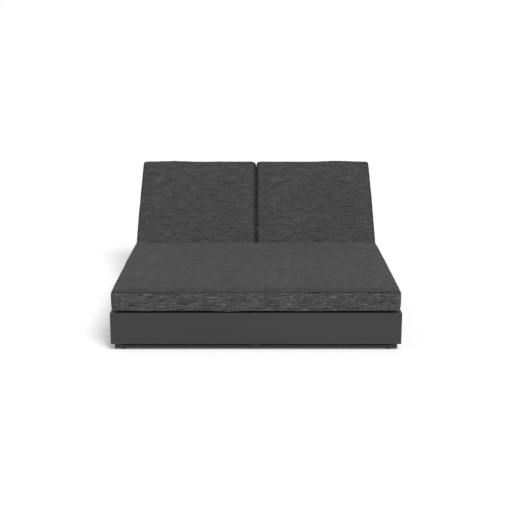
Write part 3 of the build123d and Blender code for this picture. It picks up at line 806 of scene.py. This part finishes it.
class CushionGrid:
    """A boxed cushion as a grid: an upper and a lower panel, and the boxing between their seams.

    X runs from 0 to the width, Y from 0 to the length and Z from 0 to the height.
    """

    def __init__(self, size, cell, corner):
        self.size = size
        width, length, height = size
        xs = stations(width, PANEL_STEPS, cell)
        ys = stations(length, PANEL_STEPS, cell)
        self.levels = stations(height, BOXING_STEPS, cell)
        nx, ny = len(xs), len(ys)
        grid_x, grid_y = np.meshgrid(xs, ys, indexing="ij")
        flat = np.stack([grid_x.ravel(), grid_y.ravel()], 1)
        ids = np.arange(nx * ny).reshape(nx, ny)
        ring = np.concatenate([ids[:, 0], ids[-1, 1:], ids[-2::-1, -1], ids[0, -2:0:-1]])
        points = [np.column_stack([flat, np.full(nx * ny, level)]) for level in (0.0, height)]
        self.rows = [ring]
        for level in self.levels[1:-1]:
            self.rows.append(2 * nx * ny + (len(self.rows) - 1) * len(ring) + np.arange(len(ring)))
            points.append(np.column_stack([flat[ring], np.full(len(ring), level)]))
        self.rows.append(nx * ny + ring)
        self.points = np.concatenate(points)
        self.upper = nx * ny + ids
        self.lower = ids
        self.ring_steps = np.linalg.norm(np.diff(flat[np.append(ring, ring[0])], axis=0), axis=1)
        self.make_faces()
        self.panel_place = self.points[:, :2].copy()
        self.seam_distance = self.distances()
        self.round_corners(corner)

    def make_faces(self):
        """Quads of both panels and the boxing, with each corner's place on its cut of cloth."""
        up, low = self.upper, self.lower
        quads = [np.stack([up[:-1, :-1], up[1:, :-1], up[1:, 1:], up[:-1, 1:]], -1).reshape(-1, 4)]
        quads.append(np.stack([low[:-1, :-1], low[:-1, 1:], low[1:, 1:], low[1:, :-1]], -1).reshape(-1, 4))
        cuts = [self.points[quad.ravel(), :2] for quad in quads]
        run = np.concatenate([[0.0], np.cumsum(self.ring_steps)])
        for k in range(len(self.rows) - 1):
            below, above = self.rows[k], self.rows[k + 1]
            following = np.roll(np.arange(len(below)), -1)
            quads.append(np.stack([below, below[following], above[following], above], -1))
            left, right = run[:-1], run[1:]
            foot, head = (np.full(len(below), level) for level in self.levels[k:k + 2])
            corners = [(left, foot), (right, foot), (right, head), (left, head)]
            cuts.append(np.stack([np.stack(pair, -1) for pair in corners], 1).reshape(-1, 2))
        self.quads = np.concatenate(quads)
        self.cuts = np.concatenate(cuts)

    def distances(self):
        """How far each point lies from the nearest seam, along the cloth."""
        width, length, height = self.size
        place = self.panel_place
        from_x = np.minimum(place[:, 0], width - place[:, 0])
        from_y = np.minimum(place[:, 1], length - place[:, 1])
        distance = np.minimum(from_x, from_y)
        for row, level in zip(self.rows, self.levels):
            distance[row] = min(level, height - level)
        return distance

    def round_corners(self, radius):
        """Round the four corners of the plan."""
        width, length, _ = self.size
        x, y = self.points[:, 0], self.points[:, 1]
        from_x = np.minimum(x, width - x)
        from_y = np.minimum(y, length - y)
        new_x, new_y = disc_corner(from_x, from_y, radius)
        self.points[:, 0] = np.where(x < width / 2, new_x, width - new_x)
        self.points[:, 1] = np.where(y < length / 2, new_y, length - new_y)

    def stand_boxing_out(self, front, right, rear, left, lip):
        """Let the boxing stand out past its seams, by an amount for each of its four sides."""
        ring = self.points[self.rows[0], :2]
        along = np.roll(ring, -1, axis=0) - np.roll(ring, 1, axis=0)
        away = np.stack([along[:, 1], -along[:, 0]], 1) / np.linalg.norm(along, axis=1)[:, None]
        amount = front * np.clip(-away[:, 1], 0, 1) ** 2 + rear * np.clip(away[:, 1], 0, 1) ** 2
        amount += right * np.clip(away[:, 0], 0, 1) ** 2 + left * np.clip(-away[:, 0], 0, 1) ** 2
        for row in self.rows[1:-1]:
            share = 1 - np.exp(-self.seam_distance[row] / lip)
            self.points[row, :2] += away * (amount * share)[:, None]

    def bow_sides(self, bow_low, bow_high):
        """Draw the ends of the two long sides in, so that each side stands out in its middle."""
        width, length, _ = self.size
        across = 2 * self.points[:, 0] / width - 1
        along = 2 * self.points[:, 1] / length - 1
        bow = np.where(across < 0, bow_low, bow_high)
        self.points[:, 0] -= across * bow * along**2

    def mesh(self, name, points, panel_painted_shading):
        """A mesh of the grid with its points where they are given, its cut map, seams, cloth marks and
        painted light and shade.
        """
        mesh = bpy.data.meshes.new(name)
        mesh.from_pydata(points.tolist(), [], self.quads.tolist())
        cut = mesh.uv_layers.new(name="cut")
        cut.uv.foreach_set("vector", self.cuts.astype(np.float32).ravel())
        stitch_row = np.zeros(len(points))
        # Painted light and shade: the panels and the boxing get their own brightness, as light falls on them
        painted_shading = panel_painted_shading * np.ones(len(points))
        yarn_share = np.full(len(points), PANEL_YARN)
        # Painted shade beside the seams: it reaches further onto the panels than onto the boxing
        painted_seam_shade = self.seam_distance * PANEL_SEAM_SHADE_FADE
        on_seam = np.zeros(len(points), bool)
        for row in self.rows[1:-1]:
            painted_shading[row] = BOXING_PAINTED_LIGHT
            yarn_share[row] = BOXING_YARN
            painted_seam_shade[row] = self.seam_distance[row] * BOXING_SEAM_SHADE_FADE
        for row in (self.rows[STITCH_STEP], self.rows[-1 - STITCH_STEP]):
            stitch_row[row] = 1
        for row in (self.rows[0], self.rows[-1]):
            on_seam[row] = True
        marks = {"stitch_row": stitch_row, "painted_shading": painted_shading, "yarn_share": yarn_share, "painted_seam_shade": painted_seam_shade}
        for mark, values in marks.items():
            mesh.attributes.new(mark, "FLOAT", "POINT").data.foreach_set("value", values.astype(np.float32))
        creased = on_seam[edge_pairs(mesh)].all(1).astype(np.float32)
        mesh.attributes.new("crease_edge", "FLOAT", "EDGE").data.foreach_set("value", creased)
        mesh.shade_smooth()
        return mesh


def edge_pairs(mesh):
    """The two ends of every edge, as an array."""
    pairs = np.zeros(len(mesh.edges) * 2, np.int64)
    mesh.edges.foreach_get("vertices", pairs)
    return pairs.reshape(-1, 2)


def smoothed(values, pairs, held, rounds):
    """Values averaged with their neighbours a number of times; held points keep theirs."""
    count = len(values)
    ends = np.concatenate([pairs[:, 0], pairs[:, 1]])
    others = np.concatenate([pairs[:, 1], pairs[:, 0]])
    neighbours = np.bincount(ends, minlength=count)[:, None]
    free = ~held[:, None]
    for _ in range(rounds):
        total = np.stack([np.bincount(ends, values[others, axis], count) for axis in range(3)], 1)
        values = np.where(free, 0.5 * values + 0.5 * total / neighbours, values)
    return values


def read_points(mesh, what="co"):
    """The place of every point of a mesh, or its normal."""
    values = np.zeros(len(mesh.vertices) * 3)
    mesh.vertices.foreach_get(what, values)
    return values.reshape(-1, 3)


def write_points(mesh, points):
    """Put every point of a mesh where an array says."""
    mesh.vertices.foreach_set("co", points.astype(np.float32).ravel())
    mesh.update()


def node_points(node, place=FLAT_PLACE):
    """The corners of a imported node's mesh, in the measures of a place."""
    turn = np.array(place.inverted())
    return read_points(frame["nodes"][node].data) @ turn[:3, :3].T + turn[:3, 3]


def filled_cover(name, mesh, pinned, cushions):
    """Blow the cover up against its pinned points with the cloth solver and return where it ends."""
    cover = linked_object(name + "_cover", mesh.copy())
    scene = bpy.context.scene
    group = cover.vertex_groups.new(name="held")
    for weight in np.unique(pinned[pinned > 0]):
        group.add(np.flatnonzero(pinned == weight).tolist(), float(weight), "REPLACE")
    cloth = cover.modifiers.new("Cloth", "CLOTH")
    for setting, value in CLOTH.items():
        setattr(cloth.settings, setting, value)
    cloth.settings.shrink_min = -cushions.slack
    cloth.settings.uniform_pressure_force = cushions.pressure
    cloth.settings.effector_weights.gravity = 0
    cloth.collision_settings.use_collision = False
    cloth.point_cache.frame_start = 1
    cloth.point_cache.frame_end = cushions.frames
    for number in range(1, cushions.frames + 1):
        scene.frame_set(number)
    graph = bpy.context.evaluated_depsgraph_get()
    filled = read_points(cover.evaluated_get(graph).data)
    bpy.data.objects.remove(cover)
    scene.frame_set(1)
    return filled


def waves(place, lengths, seed):
    """A smooth uneven field over a plane, between about -1 and 1, from a few fixed sine waves."""
    draw = np.random.default_rng(seed)
    total = np.zeros(len(place))
    for length in lengths:
        for _ in range(3):
            angle = draw.uniform(0, pi)
            phase = draw.uniform(0, 2 * pi)
            across = place[:, 0] * cos(angle) + place[:, 1] * sin(angle)
            total += np.sin(2 * pi * across / length + phase)
    return total / (3 * len(lengths)) ** 0.5


def soft_cap(distance, cap):
    """A distance that grows evenly at first and never passes a cap."""
    return cap * np.tanh(distance / cap)


def sewn_cushion(name, grid, start, cushions, panel_painted_shading, seed):
    """Fill a cushion's cover, limit how far it swells, and pull its seams in. Returns mesh and points."""
    mesh = grid.mesh(name, start, panel_painted_shading)
    pairs = edge_pairs(mesh)
    normals = read_points(mesh, "normal")
    low_ring, high_ring = grid.rows[0], grid.rows[-1]
    pinned = np.zeros(len(start))
    pinned[grid.lower.ravel()] = 1
    pinned[high_ring] = SEAM_HOLD
    held = pinned > 0
    boxing = np.zeros(len(start), bool)
    for row in grid.rows[1:-1]:
        boxing[row] = True
    cap = np.where(boxing, cushions.side_cap, cushions.crown)
    ease = np.where(boxing, 1.0, cushions.crown_ease)
    moved = filled_cover(name, mesh, pinned, cushions) - start
    slow = smoothed(moved, pairs, held, SMOOTH_ROUNDS)
    fine = moved - slow
    rise = (slow * normals).sum(1)
    aside = slow - normals * rise[:, None]
    wrinkle = soft_cap((fine * normals).sum(1), np.where(boxing, *WRINKLE_CAPS))
    shape = start + aside * ASIDE_SHARE + normals * (soft_cap(rise / ease, cap) + wrinkle)[:, None]

    place = grid.panel_place
    uneven = waves(place, UNEVEN_LENGTHS, seed) * np.where(boxing, *UNEVEN_HEIGHTS)
    uneven[grid.lower.ravel()] = 0
    fading = np.exp(-grid.seam_distance / PUCKER_REACH)
    pucker = waves(place, PUCKER_LENGTHS, seed + 1) * PUCKER_HEIGHT * fading
    pucker[low_ring] = 0
    shape += normals * (uneven + pucker)[:, None]
    for ring in (low_ring, high_ring):
        shape[ring] -= normals[ring] * cushions.groove
    for row in (grid.rows[STITCH_STEP], grid.rows[-1 - STITCH_STEP]):
        shape[row] -= normals[row] * STITCH_SINK
    return mesh, shape


def subdivided(mesh):
    """The mesh after one round of smooth subdivision."""
    carrier = linked_object("carrier", mesh)
    finer = carrier.modifiers.new("Subdivision", "SUBSURF")
    finer.levels = 1
    finer.render_levels = 1
    finer.uv_smooth = "NONE"
    return plain_mesh(carrier, mesh.name)


# The materials and geometry trees that the first operators leave for the others
MATERIALS = {}
TREES = {}


def dress(node, body, mesh, cushions, seed):
    """Put a finished cover and its topstitching in the place of a cushion's solid."""
    cloth, thread = MATERIALS["cushion_fabric"], MATERIALS["thread"]
    cover = finished_object(node + "_cover", mesh, cloth, body)
    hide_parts(node)
    threads = run_tree(node + "_stitches", TREES["stitch"], mesh, {
        "Pitch": cushions.stitch_pitch, "Stitch length": cushions.stitch_length,
        "Thread width": cushions.stitch_width, "Lift": STITCH_LIFT, "Seed": seed, "Material": thread,
    })
    threads.shade_smooth()
    finished_object(node + "_stitches", threads, thread, body)


def loose_parts(mesh):
    """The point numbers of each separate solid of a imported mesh, by the places its triangles share."""
    points = read_points(mesh)
    _, same = np.unique(np.round(points, 6), axis=0, return_inverse=True)
    same = same.ravel()
    parent = list(range(same.max() + 1))

    def root(number):
        while parent[number] != number:
            parent[number] = parent[parent[number]]
            number = parent[number]
        return number

    for a, b in edge_pairs(mesh):
        parent[root(same[a])] = root(same[b])
    roots = np.array([root(number) for number in same])
    return [np.flatnonzero(roots == number) for number in np.unique(roots)]


def slat_rows(node, place):
    """The even rows that a node of slats falls into: first middle, step, count and the slat's sizes."""
    points = node_points(node, place)
    parts = loose_parts(frame["nodes"][node].data)
    boxes = sorted((tuple(points[part].min(0)), tuple(points[part].max(0))) for part in parts)
    fields = {}
    for low, high in boxes:
        fields.setdefault(round(low[0], 4), []).append((np.array(low), np.array(high)))
    for members in fields.values():
        members.sort(key=lambda box: box[0][1])
        row = [members[0]]
        for member in members[1:] + [None]:
            lows = [box[0][1] for box in [*row[-2:], member] if box is not None]
            if member is not None and (len(lows) < 3 or abs(lows[2] - 2 * lows[1] + lows[0]) < EVEN):
                row.append(member)
                continue
            size = row[0][1] - row[0][0]
            step = row[1][0] - row[0][0] if len(row) > 1 else np.zeros(3)
            yield ((row[0][0] + row[0][1]) / 2).tolist(), step.tolist(), len(row), *size.tolist()
            row = [member]


def reach_at(points, share):
    """The rearmost place of a solid at the level nearest to a share of its height, and that level."""
    low, high = points[:, 2].min(), points[:, 2].max()
    levels = np.unique(np.round(points[:, 2], 5))
    level = levels[np.argmin(abs(levels - (low + share * (high - low))))]
    return points[abs(points[:, 2] - level) < 1e-5, 1].max(), level - low


class LOUNGER_OT_finishes(bpy.types.Operator):
    """Mix the materials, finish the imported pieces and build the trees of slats, stitches and beads"""

    bl_idname = "lounger.finishes"
    bl_label = "Finishes"

    def execute(self, context):
        fabric = context.scene.lounger_fabric
        coat = context.scene.lounger_coat
        groups = {
            "grain": grain_group(), "edge": edge_group(), "weave": weave_group(), "slub": slub_group(),
        }
        MATERIALS.update({
            "cushion_fabric": fabric_material(groups, fabric),
            "thread": thread_material(groups, fabric),
            "frame_coat": coat_material(groups, coat),
            "steel": steel_material(groups, coat),
            "foot_plastic": moulded_material(
                groups, "glide_nylon", coat.plastic, roughness=0.55, wave=0.0009
            ),
            "buffer_rubber": moulded_material(
                groups, "buffer_rubber_grain", coat.rubber, roughness=0.75, wave=0.0012
            ),
        })
        for node in frame["nodes"].values():
            for slot in node.material_slots:
                slot.material = MATERIALS[slot.material.name]
        TREES.update({"slat": slat_tree(), "stitch": stitch_tree(), "bead": bead_tree()})
        return {"FINISHED"}


class LOUNGER_OT_slats(bpy.types.Operator):
    """Extruded slats with round edges in the seat deck and in both backs"""

    bl_idname = "lounger.slats"
    bl_label = "Slats"

    def execute(self, context):
        material = MATERIALS["frame_coat"]
        fields = [("seat_slats", "base", FLAT_PLACE)]
        fields += [(f"{side}_back_slats", f"{side}_back", BACK_PLACE) for side in SIDES]
        for node, body, place in fields:
            joined = bmesh.new()
            for first, step, count, length, width, thickness in slat_rows(node, place):
                mesh = run_tree(node + "_row", TREES["slat"], bpy.data.meshes.new(node), {
                    "Count": count, "First": first, "Step": step, "Length": length, "Width": width,
                    "Thickness": thickness, "Edge radius": SLAT_EDGE, "Material": material,
                }, place)
                joined.from_mesh(mesh)
            bmesh.ops.remove_doubles(joined, verts=joined.verts, dist=1e-6)
            bmesh.ops.recalc_face_normals(joined, faces=joined.faces)
            whole = bpy.data.meshes.new(node + "_extruded")
            joined.to_mesh(whole)
            joined.free()
            whole.shade_smooth()
            whole.set_sharp_from_angle(angle=SHARP_ANGLE)
            piece = finished_object(node + "_extruded", whole, material, body)
            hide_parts(node)
        return {"FINISHED"}


class LOUNGER_OT_welds(bpy.types.Operator):
    """Weld beads where the slats of each back meet its rails"""

    bl_idname = "lounger.welds"
    bl_label = "Welds"

    def execute(self, context):
        coat = context.scene.lounger_coat
        material = MATERIALS["frame_coat"]
        for side in SIDES:
            points = []
            for first, step, count, length, width, thickness in slat_rows(f"{side}_back_slats", BACK_PLACE):
                half_run = width / 2 - coat.bead_radius
                for number in range(count):
                    middle = np.array(first) + number * np.array(step)
                    for way in (-1, 1):
                        for run in (-half_run, half_run):
                            points.append(middle + np.array([way * length / 2, run, -thickness / 2]))
            path = bpy.data.meshes.new(f"{side}_weld_path")
            path.from_pydata(points, [(place, place + 1) for place in range(0, len(points), 2)], [])
            beads = run_tree(f"{side}_back_welds", TREES["bead"], path, {
                "Radius": coat.bead_radius, "Ripple": coat.bead_ripple, "Material": material,
            }, BACK_PLACE)
            finished_object(f"{side}_back_welds", beads, material, f"{side}_back")
        return {"FINISHED"}


class LOUNGER_OT_seat_cushion(bpy.types.Operator):
    """One foam cushion across both sides, in a boxed and topstitched cover"""

    bl_idname = "lounger.seat_cushion"
    bl_label = "Seat cushion"

    def execute(self, context):
        cushions = context.scene.lounger_cushions
        solid = node_points("seat_cushion")
        low, high = solid.min(0), solid.max(0)

        # The rear face leans: its reach at two levels gives its foot and its slope
        (lower_reach, lower_level), (upper_reach, upper_level) = (
            reach_at(solid, share) for share in REAR_SHARES
        )
        slope = (upper_reach - lower_reach) / (upper_level - lower_level)
        rear_low = lower_reach - slope * lower_level - CLEARANCE
        size = (high[0] - low[0], rear_low - low[1], cushions.boxing + SEAT_RISE - LIFT)
        grid = CushionGrid(size, cushions.cell, cushions.corner_radius)
        out = cushions.stand_out
        grid.stand_boxing_out(out, out, 0, out, cushions.lip)
        grid.bow_sides(cushions.bow, cushions.bow)
        start = grid.points + np.array([low[0], low[1], low[2] + LIFT])
        near_rear = np.clip(1 - (rear_low - start[:, 1]) / REAR_SPREAD, 0, 1)
        start[:, 1] += slope * near_rear**2 * (start[:, 2] - low[2])
        # Painted shade on the seat's panel towards its front edge
        near = np.clip(1 - grid.panel_place[:, 1] / NEAR_EDGE, 0, 1)
        painted_shading = SEAT_PAINTED_SHADE * (1 - (1 - NEAR_EDGE_PAINTED_SHADE) * near * (2 - near))
        mesh, shape = sewn_cushion("seat_cushion_cover", grid, start, cushions, painted_shading, SEAT_SEED)

        # The filling sags over the fascia's top edge, most of all left of the middle
        strip = np.clip(1 - (shape[:, 1] - low[1]) / SAG_STRIP, 0, 1)
        strip *= np.clip(1 - (shape[:, 2] - low[2]) / SAG_HEIGHT, 0, 1)
        sag = np.full(len(shape), FRONT_SAG)
        for middle, spread, depth in SAG_PLACES:
            sag += depth * np.exp(-((shape[:, 0] - middle) / spread) ** 2)
        shape[:, 2] -= sag * strip
        write_points(mesh, shape)
        dress("seat_cushion", "base", subdivided(mesh), cushions, SEAT_STITCH_SEED)
        return {"FINISHED"}


def lean_inwards(mesh, grid, start, shape, way, seam):
    """Bring the inner boxing of a back cushion to the wavy face on which both cushions meet, and paint the
    shade of the gap between them onto its cloth.

    The wave depends on the distance from the hinge alone, so it stays clear as either back turns.
    """
    from_hinge = np.hypot(shape[:, 1], shape[:, 2])
    meeting = way * LEAN_GAP + LEAN_WAVE * np.sin(2 * pi * from_hinge / LEAN_LENGTH)
    painted_shadings = np.zeros(len(shape), np.float32)
    mesh.attributes["painted_shading"].data.foreach_get("value", painted_shadings)
    for row in grid.rows[1:-1]:
        inner = np.clip(1 - (way * start[row, 0] - seam) / LEAN_REACH, 0, 1)
        depth = min(grid.seam_distance[row].min() / LEAN_DEPTH, 1)
        share = inner * depth**LEAN_EASE
        shape[row, 0] += share * (meeting[row] - shape[row, 0])
        # Painted shade on the inner boxing, standing in for the shadow in the gap between the backs
        painted_shadings[row] *= 1 - (1 - LEAN_PAINTED_SHADE) * inner
    mesh.attributes["painted_shading"].data.foreach_set("value", painted_shadings)


class LOUNGER_OT_back_cushions(bpy.types.Operator):
    """Two cushions on the reclining backs, with a large round edge at the foot"""

    bl_idname = "lounger.back_cushions"
    bl_label = "Back cushions"

    def execute(self, context):
        cushions = context.scene.lounger_cushions
        for number, (side, way) in enumerate(SIDES.items()):
            node = f"{side}_back_cushion"
            solid = node_points(node, BACK_PLACE)
            low, high = solid.min(0), solid.max(0)
            outer = max(abs(low[0]), abs(high[0])) + OUTER_EASE
            size = (outer - cushions.inner_seam, high[1] + TOP_EASE - low[1] - LIFT, cushions.boxing - LIFT)
            grid = CushionGrid(size, cushions.cell, cushions.corner_radius)
            left_out, right_out = (cushions.stand_out, cushions.inner_stand_out)[::-way]
            grid.stand_boxing_out(0, right_out, cushions.stand_out, left_out, cushions.lip)
            grid.bow_sides(*(cushions.bow, 0)[::-way])
            points = grid.points
            height = size[2]
            points[:, 1], upper = disc_corner(points[:, 1], height - points[:, 2], cushions.foot_radius)
            points[:, 2] = height - upper
            left_edge = -outer if way < 0 else cushions.inner_seam
            start = points + np.array([left_edge, low[1] + LIFT, low[2] + LIFT])
            seed = BACK_SEED + BACK_SEED_STEP * number
            mesh, shape = sewn_cushion(node + "_cover", grid, start, cushions, BACK_PAINTED_SHADE, seed)
            lean_inwards(mesh, grid, start, shape, way, cushions.inner_seam)

            # The filling stands up in a broad hump on the outer half of the top edge
            near_top = np.exp(-(((high[1] - shape[:, 1]) / HUMP_DEPTH) ** 2))
            hump = HUMP_RISE * np.exp(-(((shape[:, 0] - way * HUMP_MIDDLE) / HUMP_SPREAD) ** 2)) * near_top
            share = np.clip((shape[:, 2] - low[2]) / height, 0, 1)
            shape[:, 2] += hump * share
            write_points(mesh, shape)
            fine = subdivided(mesh)
            fine.transform(BACK_PLACE)
            dress(node, f"{side}_back", fine, cushions, BACK_STITCH_SEED + number)
        return {"FINISHED"}


WHITE = (1, 1, 1, 1)


def seen_rays(tree):
    """1 for rays from the camera and for those that mirror or pass through, else 0."""
    rays = add_node(tree, "ShaderNodeLightPath").outputs
    clear = maths(tree, "MAXIMUM", rays["Is Glossy Ray"], rays["Is Transmission Ray"])
    return maths(tree, "MAXIMUM", rays["Is Camera Ray"], clear)


def floor_material(studio):
    """White floor that keeps shadows: a matt surface, and a little light where the floor is seen."""
    material = bpy.data.materials.new("white_floor")
    tree = cleared_tree(material)
    matt = output(tree, "ShaderNodeBsdfDiffuse", {"Color": opaque(studio.floor_colour)})
    lift = times(tree, seen_rays(tree), studio.floor_lift)
    glow = output(tree, "ShaderNodeEmission", {"Color": WHITE, "Strength": lift})
    both = output(tree, "ShaderNodeAddShader", {0: matt, 1: glow})
    add_node(tree, "ShaderNodeOutputMaterial", {"Surface": both})
    return material


class LOUNGER_OT_studio(bpy.types.Operator):
    """Pale floor, soft light and the camera"""

    bl_idname = "lounger.studio"
    bl_label = "Studio"

    def execute(self, context):
        studio = context.scene.lounger_studio
        scene = context.scene
        camera_data = bpy.data.cameras.new("camera")
        camera_data.lens = studio.lens
        camera_data.clip_end = 200
        camera = linked_object("camera", camera_data)
        camera.location = studio.camera_place
        camera.rotation_euler = (pi / 2 - studio.camera_pitch, 0, 0)
        scene.camera = camera

        half = studio.floor_size / 2
        corners = [(-half, -half, 0), (half, -half, 0), (half, half, 0), (-half, half, 0)]
        mesh = bpy.data.meshes.new("floor")
        mesh.from_pydata(corners, [], [(0, 1, 2, 3)])
        mesh.materials.append(floor_material(studio))
        linked_object("floor", mesh)

        key_data = bpy.data.lights.new("key", "SUN")
        key_data.energy = studio.key_power
        key_data.angle = studio.key_angle
        key = linked_object("key", key_data)
        key.rotation_euler = Vector(studio.key_way).to_track_quat("-Z", "Y").to_euler()

        scene.world = bpy.data.worlds.new("surroundings")
        tree = cleared_tree(scene.world)
        strength = maths(tree, "ADD", studio.fill, times(tree, seen_rays(tree), 1.0 - studio.fill))
        sky = output(tree, "ShaderNodeBackground", {"Color": WHITE, "Strength": strength})
        add_node(tree, "ShaderNodeOutputWorld", {"Surface": sky})
        scene.view_settings.view_transform = "Standard"
        return {"FINISHED"}


OPERATORS = (
    LOUNGER_OT_studio,
    LOUNGER_OT_finishes,
    LOUNGER_OT_slats,
    LOUNGER_OT_welds,
    LOUNGER_OT_seat_cushion,
    LOUNGER_OT_back_cushions,
)


class LOUNGER_PT_build(bpy.types.Panel):
    """Everything that builds the lounger, in its order"""

    bl_label = "Double chaise lounger"
    bl_space_type = "VIEW_3D"
    bl_region_type = "UI"
    bl_category = "Lounger"

    def draw(self, context):
        for operator in OPERATORS:
            self.layout.operator(operator.bl_idname)
        for name in SETTINGS:
            box = self.layout.box()
            group = getattr(context.scene, name)
            for prop in group.bl_rna.properties:
                if prop.identifier not in ("rna_type", "name"):
                    box.prop(group, prop.identifier)


def register():
    """Make the settings, operators and panel known."""
    for name, settings in SETTINGS.items():
        bpy.utils.register_class(settings)
        setattr(bpy.types.Scene, name, PointerProperty(type=settings))
    for operator in OPERATORS:
        bpy.utils.register_class(operator)
    bpy.utils.register_class(LOUNGER_PT_build)


def unregister():
    """Take the panel, operators and settings away again."""
    bpy.utils.unregister_class(LOUNGER_PT_build)
    for operator in reversed(OPERATORS):
        bpy.utils.unregister_class(operator)
    for name, settings in SETTINGS.items():
        delattr(bpy.types.Scene, name)
        bpy.utils.unregister_class(settings)


def main():
    """Build the lounger and its studio."""
    register()
    for operator in OPERATORS:
        group, name = operator.bl_idname.split(".")
        getattr(getattr(bpy.ops, group), name)()
    bpy.context.view_layer.update()


if __name__ == "__main__":
    main()
